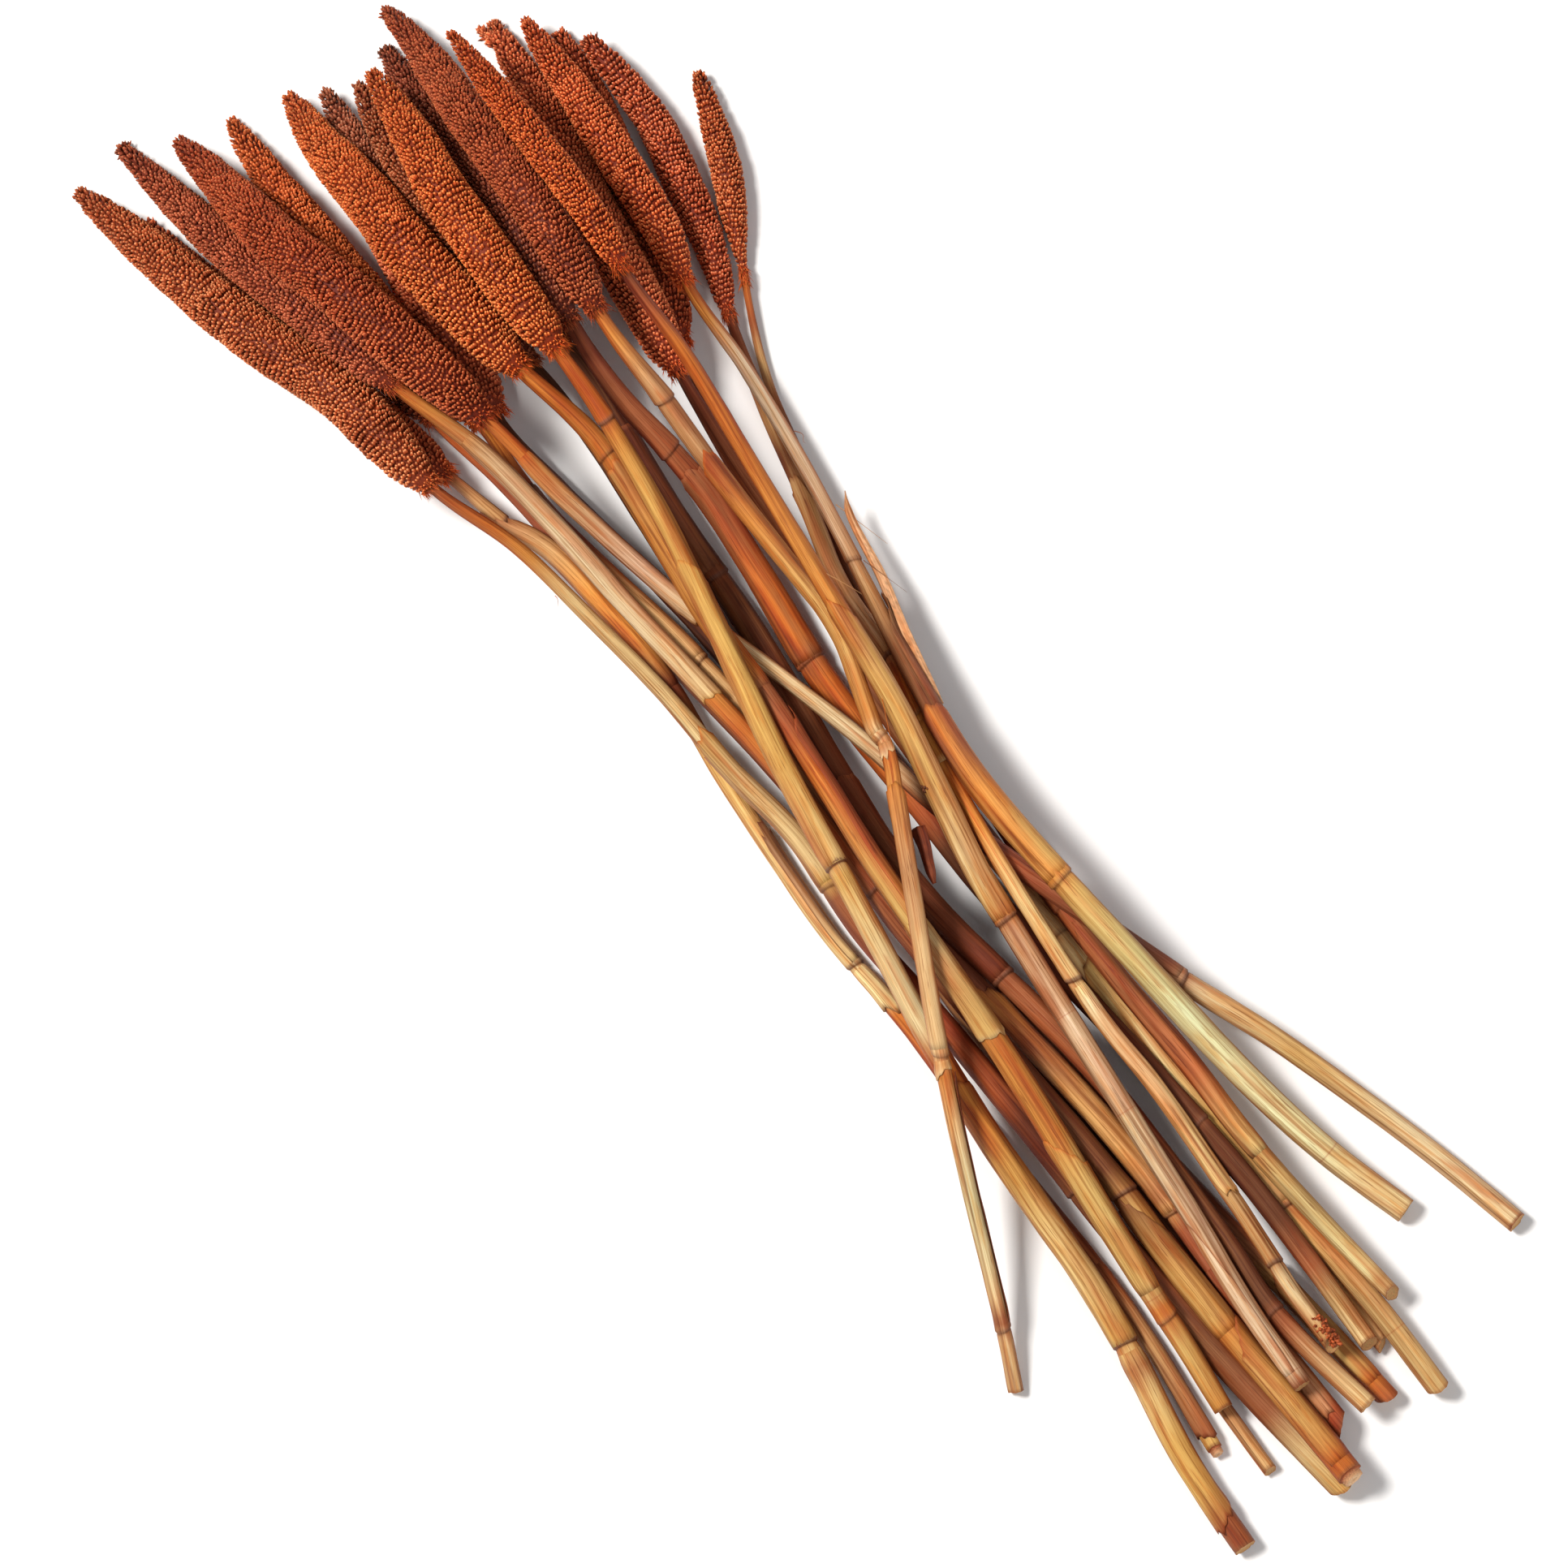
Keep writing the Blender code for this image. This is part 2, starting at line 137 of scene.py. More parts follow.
class Line:
    """A smooth centre line through some points, with a level side direction and an upward one."""

    def __init__(self, centres):
        knots = np.concatenate([[0.0], np.cumsum(np.linalg.norm(np.diff(centres, axis=0), axis=1))])
        slopes = np.gradient(centres, knots, axis=0)
        fine = np.arange(0.0, knots[-1], FINE_STEP)
        span = np.clip(np.searchsorted(knots, fine, side="right") - 1, 0, len(knots) - 2)
        size = (knots[span + 1] - knots[span])[:, None]
        t = (fine - knots[span])[:, None] / size
        points = ((2 * t**3 - 3 * t**2 + 1) * centres[span] + (t**3 - 2 * t**2 + t) * size * slopes[span]
                  + (3 * t**2 - 2 * t**3) * centres[span + 1] + (t**3 - t**2) * size * slopes[span + 1])
        self.points = np.vstack([points, centres[-1]])
        steps = np.linalg.norm(np.diff(self.points, axis=0), axis=1)
        self.along = np.concatenate([[0.0], np.cumsum(steps)])
        self.length = self.along[-1]
        self.knots = np.interp(knots, np.append(fine, knots[-1]), self.along)

    def at_x(self, x):
        """How far along the line it reaches this X."""
        return np.interp(x, self.points[:, 0], self.along)

    def inside(self, distance):
        """The point at each distance, which is within the line."""
        return np.stack([np.interp(distance, self.along, self.points[:, k]) for k in range(3)], axis=-1)

    def centre(self, distance):
        """The point at each distance; the line runs straight on past its ends."""
        distance = np.asarray(distance, dtype=float)
        within = np.clip(distance, 0.0, self.length)
        return self.inside(within) + (distance - within)[..., None] * self.direction(within)

    def direction(self, distance):
        """The way the line runs at each distance, towards the cut end."""
        low = np.clip(np.asarray(distance, dtype=float) - CHORD, 0.0, self.length - 2 * CHORD)
        return unit(self.inside(low + 2 * CHORD) - self.inside(low))

    def frame(self, distance):
        """The centre, direction, side and up at each distance."""
        ahead = self.direction(distance)
        side = unit(np.cross(UP, ahead))
        return self.centre(distance), ahead, side, np.cross(ahead, side)

    def spoke(self, distance, angle):
        """The centre, direction and way out at each distance and angle."""
        centre, ahead, side, up = self.frame(distance)
        return centre, ahead, turned(up, side, angle)

    def around(self, distance, angle, radius):
        """Points at each distance, angle and radius."""
        centre, _, out = self.spoke(distance, angle)
        return centre + out * np.asarray(radius)[..., None]


# ---------------------------------------------------------------- gathering faces into one mesh
class Shape:
    """Faces gathered for one mesh: a colour and a depth at each point, a grain map at each corner."""

    def __init__(self):
        self.points, self.tints, self.depths = [], [], []
        self.faces, self.grain, self.kinds = [], [], []
        self.count = 0

    def add(self, points, faces, tint, depth=1.0, grain=None, kind=0):
        """Add points and faces over them; returns the number of the first point."""
        points = np.asarray(points, dtype=float).reshape(-1, 3)
        first = self.count
        self.points.append(points)
        self.tints.append(np.broadcast_to(np.asarray(tint, dtype=float), points.shape))
        self.depths.append(np.broadcast_to(np.asarray(depth, dtype=float), len(points)))
        self.count += len(points)
        self.join(faces, first, grain, kind)
        return first

    def join(self, faces, first, grain=None, kind=0):
        """Add faces over points that are there already, counted from first; kind is their material."""
        faces = np.asarray(faces)
        self.faces.append(faces + first)
        self.grain.append(np.zeros(faces.shape + (2,)) if grain is None else np.asarray(grain))
        self.kinds.append(np.full(len(faces), kind))

    def to_piece(self, name, materials, node):
        """The finished piece, in place of a node of the frame."""
        points = np.vstack(self.points) * MM
        under = points[:, 2] < 0.0
        points[under, 2] *= PRESSED
        sizes = np.concatenate([np.full(len(f), f.shape[1]) for f in self.faces])
        corners = np.concatenate([f.reshape(-1) for f in self.faces])
        mesh = bpy.data.meshes.new(name)
        mesh.vertices.add(len(points))
        mesh.vertices.foreach_set("co", points.ravel().astype(np.float32))
        mesh.loops.add(len(corners))
        mesh.loops.foreach_set("vertex_index", corners.astype(np.int32))
        mesh.polygons.add(len(sizes))
        starts = np.concatenate([[0], np.cumsum(sizes)[:-1]])
        mesh.polygons.foreach_set("loop_start", starts.astype(np.int32))
        mesh.polygons.foreach_set("material_index", np.concatenate(self.kinds).astype(np.int32))
        mesh.polygons.foreach_set("use_smooth", np.ones(len(sizes), dtype=bool))
        mesh.update(calc_edges=True)
        tint = mesh.attributes.new("tint", "FLOAT_COLOR", "POINT")
        tints = np.column_stack([np.vstack(self.tints), np.ones(len(points))])
        tint.data.foreach_set("color", tints.ravel().astype(np.float32))
        depth = mesh.attributes.new("depth", "FLOAT", "POINT")
        depth.data.foreach_set("value", np.concatenate(self.depths).astype(np.float32))
        layer = mesh.uv_layers.new(name="grain")
        grain = np.concatenate([g.reshape(-1) for g in self.grain])
        layer.data.foreach_set("uv", grain.astype(np.float32))
        for material in materials:
            mesh.materials.append(material)
        piece = bpy.data.objects.new(name, mesh)
        bpy.context.scene.collection.objects.link(piece)
        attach(piece, "root")
        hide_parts(node)


def grid_faces(rows, columns, closed):
    """Quads over a grid of points, row by row; closed joins the last column to the first."""
    i, j = np.meshgrid(np.arange(rows - 1), np.arange(columns if closed else columns - 1), indexing="ij")
    after = (j + 1) % columns
    below, above = i * columns, (i + 1) * columns
    quads = np.stack([below + j, below + after, above + after, above + j], -1)
    return quads.reshape(-1, 4), i.reshape(-1), j.reshape(-1)


def grid_grain(i, j, across, along):
    """The grain map's corners for grid_faces: across has one more value than there are columns of quads."""
    u = np.stack([across[j], across[j + 1], across[j + 1], across[j]], -1)
    v = np.stack([along[i], along[i], along[i + 1], along[i + 1]], -1)
    return np.stack([u, v], -1)


def rim_walls(rows, columns):
    """Quads from the edge of an open grid to the edge of a copy whose points follow it."""
    rim = np.concatenate([np.arange(columns), np.arange(1, rows) * columns + columns - 1,
                          (rows - 1) * columns + np.arange(columns - 2, -1, -1),
                          np.arange(rows - 2, 0, -1) * columns])
    after = np.roll(rim, -1)
    copy = rows * columns
    return np.stack([rim, rim + copy, after + copy, after], -1)


def fan_faces(columns):
    """Triangles from a ring of points to the one point that follows it."""
    k = np.arange(columns)
    return np.stack([k, (k + 1) % columns, np.full(columns, columns)], -1)


def turns(columns):
    """Even angles right round."""
    return np.arange(columns) * 2 * math.pi / columns


def small_rings(lean, aside, sides):
    """Rings of radius 1 round each lean, (n, sides, 3); aside is at right angles to it."""
    return turned(aside[:, None], np.cross(lean, aside)[:, None], turns(sides)[None])


def add_copies(shape, points, quads, triangles, tint, depths):
    """Add many small things of one make: points (n, per, 3), the faces of one, and n tints."""
    number, per, _ = points.shape
    start = np.arange(number)[:, None, None] * per
    first = shape.add(points, (quads + start).reshape(-1, 4), np.repeat(tint, per, axis=0),
                      np.tile(depths, number))
    shape.join((triangles + start).reshape(-1, 3), first)


PEG_SIDES = 5
PEG_WAIST = 0.6                 # how far along a peg it is widest
PEG_FOOT = 0.34                 # the foot's radius as a share of the width


def rings_along(base, lean, ring, length, width, shares):
    """For each (share of the length, share of the width), a ring of points on every base."""
    return [(base + lean * (share * length)[:, None])[:, None] + ring * (0.5 * wide * width)[:, None, None]
            for share, wide in shares]


def add_pegs(shape, base, lean, aside, length, width, tint, depths=(1.0, 1.0, 1.0), waist=PEG_WAIST,
             sides=PEG_SIDES):
    """Small pointed pegs: a foot ring at base, a widest ring at waist along lean, and a point."""
    ring = small_rings(lean, aside, sides)
    foot = base[:, None] + ring * (PEG_FOOT * width)[:, None, None]
    middle = rings_along(base, lean, ring, length, width, ((waist, 1.0),))
    tip = base + lean * length[:, None]
    k = np.arange(sides)
    after = (k + 1) % sides
    add_copies(shape, np.concatenate([foot, *middle, tip[:, None]], axis=1),
               np.stack([k, after, after + sides, k + sides], -1), fan_faces(sides) + sides,
               tint, np.repeat(depths, (sides, sides, 1)))


# ---------------------------------------------------------------- seed heads
SEED_ACROSS, SEED_ALONG = 1.53, 2.08        # pitch of the seeds round the head and of their rows
SEED_LENGTH, SEED_WIDTH = 3.3, 1.70
SEED_SIDES = 4
SEED_RINGS = ((0.64, 1.0), (0.96, 0.40))    # how far along a seed its two rings are and how wide
SEED_DEPTHS = (0.0, 0.68, 0.96)             # how bright its foot and its two rings are: painted shade low, a painted highlight at the crown
SEED_RISE, TIP_RISE, NECK_RISE = 46.0, -14.0, 42.0      # degrees off the head: all, and what is added
SEED_BED = 0.2                              # how far a crown stands above the head's radius
LOOSENING = 0.22                            # how much wider the pitch is at the tip
BRUSH_LENGTH = 7.0                          # of the bristly end at the neck
CORE_ROWS, CORE_SIDES = 36, 16
CORE_DEPTH, CORE_SHADE = 1.2, 0.12          # the core lies this far in, and is this bright: dark, as painted shade
PATCH_TONE = np.array([0.86, 0.78, 0.74])   # of the darker patches of a head
NECK_TONE = np.array([0.95, 0.70, 0.50])
BRISTLE_TONE = np.array([1.05, 0.75, 0.45])
TIP_SEEDS, FRAYED_SEEDS = 30, 34            # at a closed tip, and more at a frayed one
BRISTLES, TUFT_SEEDS = 250, 150


def add_seeds(shape, base, lean, aside, length, width, tint):
    """Blunt seeds: a pointed foot at base, a widest ring and a narrower one that its crown closes."""
    ring = small_rings(lean, aside, SEED_SIDES)
    levels = rings_along(base, lean, ring, length, width, SEED_RINGS)
    k = np.arange(SEED_SIDES) + 1
    after = np.roll(k, -1)
    walls = np.vstack([np.stack([k, after, after + SEED_SIDES, k + SEED_SIDES], -1), k + SEED_SIDES])
    add_copies(shape, np.concatenate([base[:, None], *levels], axis=1), walls,
               np.stack([after, k, np.zeros_like(k)], -1), tint,
               np.repeat(SEED_DEPTHS, (1, SEED_SIDES, SEED_SIDES)))


def head_profile(radii, along, neck):
    """The outer radius of the seeds at any distance from the tip, rounded off from the solid's rings."""
    fine = np.linspace(0.0, neck, 400)
    width = 12                              # of the rounding, in steps of fine
    window = np.hanning(2 * width + 1)
    padded = np.pad(np.interp(fine, along, radii), width, mode="edge")
    smooth = np.convolve(padded, window / window.sum(), mode="valid")
    return lambda distance: np.interp(distance, fine, smooth)


def add_core(shape, line, outer, neck, tone):
    """The core of a head, seen only as the dark between its seeds; its dark colour is painted shade."""
    s, angle = np.meshgrid(np.linspace(1.5, neck - 0.3, CORE_ROWS), turns(CORE_SIDES), indexing="ij")
    surface = line.around(s, angle, np.maximum(outer(s) - CORE_DEPTH, 0.6))
    faces, _, _ = grid_faces(CORE_ROWS, CORE_SIDES, True)
    shape.add(surface, faces, tone, CORE_SHADE)
    for ring, order in ((surface[0], -1), (surface[-1], 1)):
        shape.add(np.vstack([ring, ring.mean(axis=0)]), fan_faces(CORE_SIDES)[:, ::order], tone, CORE_SHADE)


def seed_rows(outer, neck, scale, loose, rng):
    """The distance and angle of each seed, in rows from the neck to the tip."""
    distances, angles = [], []
    s = neck - 0.8
    while s > 0.4:
        loosen = 1.0 + loose * ease(s, 0.28 * neck, 0.02 * neck)
        count = max(5, round(2 * math.pi * outer(s) / (SEED_ACROSS * loosen * scale)))
        start = 0.5 * (len(angles) % 2) + 0.15 * rng.standard_normal()
        angles.append((np.arange(count) + start) * 2 * math.pi / count)
        distances.append(np.full(count, s))
        s -= SEED_ALONG * loosen * scale
    return np.concatenate(distances), np.concatenate(angles)


def add_seed_rows(shape, line, outer, neck, scale, tone, loose, number, rng):
    """The seeds of a head, which lean towards its tip, in rows that wander a little."""
    s, angle = seed_rows(outer, neck, scale, loose, rng)
    radius = outer(s)
    here = line.around(s, angle, radius)

    def patchy(size, seed):
        return noise(here, size, seed + number)

    def scatter(amount):
        return amount * rng.standard_normal(len(s))

    s = s + 1.5 * patchy(9.0, 40) + scatter(0.16)
    angle = angle + (1.1 * patchy(11.0, 7) + scatter(0.13)) / np.maximum(radius, 3.0)
    s = np.clip(s, 0.5, neck - 0.4)
    radius = outer(s)
    centre, ahead, out = line.spoke(s, angle)
    tipness = ease(s, 0.3 * neck, 0.0)
    brush = ease(s, neck - BRUSH_LENGTH, neck - 1.0)
    rise = np.radians(SEED_RISE + scatter(8.0) + TIP_RISE * tipness + NECK_RISE * brush)
    yaw = np.radians(26.0 * patchy(8.0, 70) + scatter(8.0))
    forward = turned(-ahead, np.cross(out, ahead), yaw)
    length = SEED_LENGTH * scale * (1.0 + scatter(0.09) + 0.15 * tipness + 0.35 * brush)
    width = SEED_WIDTH * scale * (1.0 + scatter(0.10) - 0.08 * tipness - 0.30 * brush)
    lumps = 0.35 * patchy(14.0, 300) + 0.30 * patchy(5.0, 310)
    depth = length * np.sin(np.minimum(rise, math.pi / 2)) - SEED_BED
    base = centre + out * (radius + lumps - depth)[:, None]
    shade = 1.0 + scatter(0.13) + 0.16 * patchy(3.5, 90)
    drift = np.clip(0.42 + 0.9 * patchy(22.0, 120), 0.0, 1.0)[:, None]
    tint = tone * (1.0 - drift + drift * PATCH_TONE) * (1.0 - brush[:, None] * (1.0 - NECK_TONE))
    tint = tint * shade[:, None] * (1.0 - 0.18 * tipness[:, None])
    add_seeds(shape, base, turned(forward, out, rise), unit(np.cross(out, forward)), length, width, tint)


def add_tip_seeds(shape, line, radius, frayed, tone, rng):
    """A cluster that closes the tip, looser and longer on a frayed head."""
    count = TIP_SEEDS + int(FRAYED_SEEDS * frayed)
    spread = np.sqrt(rng.uniform(0.0, 1.0, count))
    angle = rng.uniform(0.0, 2 * math.pi, count)
    start = np.full(count, 1.5)
    centre, ahead, out = line.spoke(start, angle)
    rise = np.radians(48.0 * spread + 16.0 * frayed * rng.standard_normal(count))
    lean = turned(-ahead, out, rise)
    aside = unit(np.cross(lean, out + 0.3 * line.frame(start)[3]))
    length = 2.5 * (1.0 + 0.2 * np.abs(rng.standard_normal(count)) + 0.6 * frayed * rng.uniform(0, 1, count))
    width = 1.15 * (1.0 - 0.3 * frayed * rng.uniform(0, 1, count))
    base = centre + out * (0.8 * radius * spread)[:, None] + ahead * (1.5 * spread)[:, None]
    tint = tone * (0.9 + 0.2 * rng.standard_normal(count) - 0.4 * frayed)[:, None]
    add_seeds(shape, base, lean, aside, length, width, tint)


def add_neck_bristles(shape, line, neck, radius, tone, rng):
    """The ruff of fine bristles where the head meets its stem."""
    angle = rng.uniform(0.0, 2 * math.pi, BRISTLES)
    s = neck - rng.uniform(-1.0, 6.5, BRISTLES)
    clump = 0.5 + 0.5 * np.cos(angle * 7 + 3.0 * rng.standard_normal())
    centre, ahead, out = line.spoke(s, angle)
    rise = np.radians(rng.uniform(-6.0, 36.0, BRISTLES))
    bend = 0.12 * rng.standard_normal((BRISTLES, 3)) + 0.2 * clump[:, None] * np.cross(out, ahead)
    lean = unit(turned(ahead, out, rise) + bend)
    length = rng.uniform(2.2, 5.2, BRISTLES) * (0.65 + 0.5 * clump)
    width = rng.uniform(0.24, 0.50, BRISTLES)
    base = centre + out * (radius * rng.uniform(0.34, 0.80, BRISTLES))[:, None]
    tint = tone * BRISTLE_TONE * (0.95 + 0.25 * rng.standard_normal(BRISTLES))[:, None]
    add_pegs(shape, base, lean, unit(np.cross(lean, ahead)), length, width, tint, (0.45, 0.8, 1.0), 0.3, 4)


def add_tuft(shape, line, outer, place, tone, rng):
    """A small ragged side tip, as where a head has split: place is (distance, angle, length)."""
    start, angle, reach = np.array(place)
    share = rng.uniform(0.0, 1.0, TUFT_SEEDS) ** 0.8
    centre, ahead, side, up = line.frame(np.full(TUFT_SEEDS, start))
    out = turned(up, side, angle)
    axis = unit(-ahead * 0.93 + out * 0.36)
    across = unit(np.cross(axis, up))
    away = turned(across, np.cross(axis, across), rng.uniform(0.0, 2 * math.pi, TUFT_SEEDS))
    thick = 3.6 * (1.0 - 0.65 * share)
    base = centre + out * (outer(start) * 0.55) + axis * (reach * share)[:, None]
    base = base + away * (thick - 1.6)[:, None]
    lean = turned(axis, away, np.radians(40.0 + 14.0 * rng.standard_normal(TUFT_SEEDS)))
    tint = tone * (0.85 + 0.2 * rng.standard_normal(TUFT_SEEDS))[:, None]
    length = 3.0 * (1.0 + 0.2 * rng.standard_normal(TUFT_SEEDS))
    add_pegs(shape, base, lean, unit(np.cross(lean, axis)), length, np.full(TUFT_SEEDS, 1.5), tint,
             (0.0, 0.7, 1.0))


def seed_head(number, line, neck, radii, spec):
    """All the seeds of one head, on their core."""
    rng = np.random.default_rng(HEAD_DRAWS + number)
    outer = head_profile(radii, line.knots[:len(radii)], neck)
    scale = min(1.0, 0.78 + 0.22 * radii.max() / 10.0)      # thin heads have smaller seeds
    tone = np.array(spec.get("tone", PLAIN))
    shape = Shape()
    add_core(shape, line, outer, neck, tone)
    add_seed_rows(shape, line, outer, neck, scale, tone, spec.get("loose", LOOSENING), number, rng)
    add_tip_seeds(shape, line, outer(0.5), spec.get("frayed", 0.0), tone, rng)
    add_neck_bristles(shape, line, neck, outer(neck - 4.0), tone, rng)
    if "second_tuft" in spec:
        add_tuft(shape, line, outer, spec["second_tuft"], tone, rng)
    slot = spec["slot"]
    shape.to_piece(f"millet_head_{number:02d}", [head_materials[slot]], f"seed_head_{number:02d}")


# ---------------------------------------------------------------- stems
STEM_COLUMNS, SHEATH_COLUMNS = 22, 16
RING_STEP, SHEATH_STEP = 2.8, 3.0           # between rows of points
JOINT_REACH, RING_REACH = 3.2, 1.0          # rows are closer within these of a joint and of a fine ring
JOINT_ROWS = np.array([-3.2, -2.2, -1.4, -0.8, -0.35, 0.0, 0.35, 0.8, 1.4, 2.2, 3.2])
RING_ROWS = np.array([-0.9, -0.4, 0.0, 0.4, 0.9])
END_ROWS = np.array([1.6, 0.7, 0.01])       # before the cut
OVAL = (0.07, 30.0)                         # how far out of round a stem is, and the angle of its long side
SPLITS, SPLIT_WIDTH = 5, 0.17               # lengthwise splits in each stem, in radians
SHEATH_THICK = 0.3
GRAIN_APART, SHEATH_GRAIN = 900.0, 300.0    # keep the grain of stems, and of a stem's sheaths, apart
STAIN_TONE = np.array([0.94, 0.99, 1.03])
STREAK = np.array([0.10, 0.20, 0.30])       # what these add to or take from each channel
POOL = np.array([0.30, 0.72, 0.9])
SPLIT = np.array([0.55, 0.72, 0.8])
# how much the painted shade on a stem's flanks takes from each channel
FLANK_PAINTED_SHADE = np.array([0.45, 0.69, 0.82])
RIND, STEP, PITH = 0.82, 0.76, 0.4          # radii of the rings of a cut, as shares of the rim's
CUT_RINGS = ("copper", "drab", "tan", "drab", "tan")            # from the rim to the middle
PALE_CUT_RINGS = ("brown", "rust", "rose", "blush", "tan")
PROUD, SUNK = 2.6, -0.3                     # how far the pith stands out of a pale cut and of the others
CRUMBS, KNOT_PEGS = 120, 16
FIBRE_ROWS, FIBRE_RADIUS, FIBRE_TURNS = 9, 0.2, np.array([0.0, 2.094, 4.188])


def colour_at(stops, x):
    """The colour at X between stops (x, name)."""
    places = [stop[0] for stop in stops]
    colours = np.array([COLOURS[stop[1]] for stop in stops])
    return np.stack([np.interp(x, places, colours[:, k]) for k in range(3)], -1)


def blend(tint, colour, share):
    """Mix a named colour into the tints by share, an array with one value for each tint."""
    share = np.asarray(share)[..., None]
    return tint * (1.0 - share) + np.array(COLOURS[colour]) * share


class Culm:
    """The bare stem: its radius at any distance along and angle round, without its sheaths."""

    def __init__(self, number, line, neck, distances, radii, spec):
        bulges = (radii[1:-1] > JOINT_BULGE * radii[:-2]) & (radii[1:-1] > JOINT_BULGE * radii[2:])
        peak = np.concatenate([[False], bulges, [False]])
        self.joints = distances[peak]
        self.distances, self.radii = distances[~peak], radii[~peak]
        self.line, self.neck, self.number = line, neck, number
        self.oval = spec.get("flat", OVAL)
        self.tone = np.array(spec.get("tone", PLAIN))
        self.rings = [line.at_x(x) for x in spec.get("fine_rings", ())]
        rng = np.random.default_rng(SPLIT_DRAWS + number)
        starts = np.sort(rng.uniform(neck, line.length - 60.0, SPLITS))
        self.splits = [(start, start + rng.uniform(60.0, 160.0), rng.uniform(-1.9, 1.9),
                        rng.uniform(0.25, 0.55)) for start in starts]

    def split_depth(self, s, angle):
        """How deep the lengthwise splits are here."""
        deep = np.zeros(s.shape)
        for start, end, turn, depth in self.splits:
            inside = ease(s, start, start + 20.0) * ease(s, end, end - 20.0)
            middle = turn + 0.12 * np.sin(s / 23.0 + start)
            away = (angle - middle + math.pi) % (2 * math.pi) - math.pi
            deep = deep + depth * inside * np.exp(-((away / SPLIT_WIDTH) ** 2))
        return deep

    def radius(self, s, angle):
        """The bare stem's radius: oval, ribbed, dented and split, and flared at its joints."""
        base = np.interp(s, self.distances, self.radii)
        amount, turn = self.oval
        x, y = np.cos(angle) * 4.0, np.sin(angle) * 4.0
        ribs = 0.38 * grid_noise(x, y, s * 0.03, 2.5, 640 + self.number)
        ribs = ribs + 0.08 * grid_noise(x, y, s * 0.03, 1.1, 500 + self.number)
        dents = 0.12 * grid_noise(x, y, s * 0.3, 3.0, 600 + self.number)
        base = base * (0.82 + 0.18 * ease(s, self.neck, self.neck + 45.0))      # thinner at its head
        oval = 1.0 + amount * np.cos(2 * (angle - math.radians(turn)))
        radius = base * oval + ribs + dents - self.split_depth(s, angle)
        for joint in self.joints:
            off = self.from_joint(joint, s, angle)
            radius = radius - 0.05 * base * np.exp(-(((off - 0.3) / 0.6) ** 2))
            flare = 0.10 * np.exp(np.minimum(off, 0.0) / 4.5)
            waist = -0.06 * np.exp(-np.maximum(off, 0.0) / 9.0)
            radius = radius + base * (flare + (waist - flare) * ease(off, -0.4, 0.6))
        return radius

    def from_joint(self, joint, s, angle):
        """Distance past a joint, whose ring runs a little aslant."""
        return s - joint - 0.8 * np.sin(angle + joint)

    def rows(self):
        """Where its rows of points are: evenly spaced, and closer at joints, fine rings and the cut."""
        even = np.arange(self.neck - 2.0, self.line.length - 2.5, RING_STEP)
        rows = [self.line.length - END_ROWS]
        for places, reach, steps in ((self.joints, JOINT_REACH, JOINT_ROWS),
                                     (self.rings, RING_REACH, RING_ROWS)):
            for place in places:
                even = even[np.abs(even - place) > reach]
                rows.append(place + steps)
        return np.sort(np.concatenate([even, *rows]))

    def stain_and_shade(self, tint, s, angle, seed):
        """Streaks of dye, painted shade on the flanks and dark splits; tint is (rows, columns, 3)."""
        x, y = np.cos(angle) * 3.0, np.sin(angle) * 3.0
        streak = grid_noise(x, y, s * 0.014, 0.85, 520 + seed)
        tint = tint * STAIN_TONE * self.tone * (1.0 + streak[..., None] * STREAK)
        pooled = np.clip(1.6 * grid_noise(x, y, s * 0.045, 1.5, 560 + seed) - 0.3, 0.0, 0.6)
        tint = tint * (1.0 - pooled[..., None] * POOL)
        # painted shade: both flanks darker, the flank towards +Y most
        edge = np.abs(np.sin(angle))
        painted_flank_shade = np.where(np.sin(angle) > 0.0, 0.9 * edge ** 3, 0.65 * edge ** 5)
        tint = tint * (1.0 - painted_flank_shade[..., None] * FLANK_PAINTED_SHADE)
        deep = np.clip(self.split_depth(s, angle) / 0.5, 0.0, 1.0)[..., None]
        return np.clip(tint * (1.0 - deep * SPLIT), 0.0, 1.0)


def culm_tint(culm, spec, rows, s, angle):
    """The colours of a bare stem: stops, stains, painted shade and the marks of joints, fine rings and the
    end.
    """
    length = culm.line.length
    tint = colour_at(spec["stops"], culm.line.centre(rows)[:, 0])[:, None, :].repeat(STEM_COLUMNS, axis=1)
    tint = culm.stain_and_shade(tint, s, angle, culm.number)
    for k, joint in enumerate(culm.joints):
        off = culm.from_joint(joint, s, angle)
        strength = 0.5 + 0.22 * math.sin(7.0 * k + 3.0 * culm.number)
        tint = blend(tint, "copper", 0.5 * strength * np.exp(-((off / 2.6) ** 2)))
        tint = blend(tint, "slate", strength * np.exp(-(((off + 0.6) / 0.9) ** 4)))
        tint = blend(tint, "umber", (strength + 0.25) * np.exp(-(((off - 0.35) / 0.45) ** 2)))
    for ring in culm.rings:
        tint = blend(tint, "rust", 0.5 * np.exp(-(((rows - ring) / 0.3) ** 2))[:, None])
    end = spec.get("end_dark", 0.6) * ease(rows, length - 2.0, length - 0.2)[:, None]
    tint = blend(tint, "brown", end)
    if spec.get("end") == "striped":
        stripes = np.where(np.sin(angle * 9.0 + 1.0) > 0.3, 0.6, 0.0)
        tint = blend(tint, "oxblood", stripes * ease(rows, length - 26.0, length - 6.0)[:, None])
    return tint


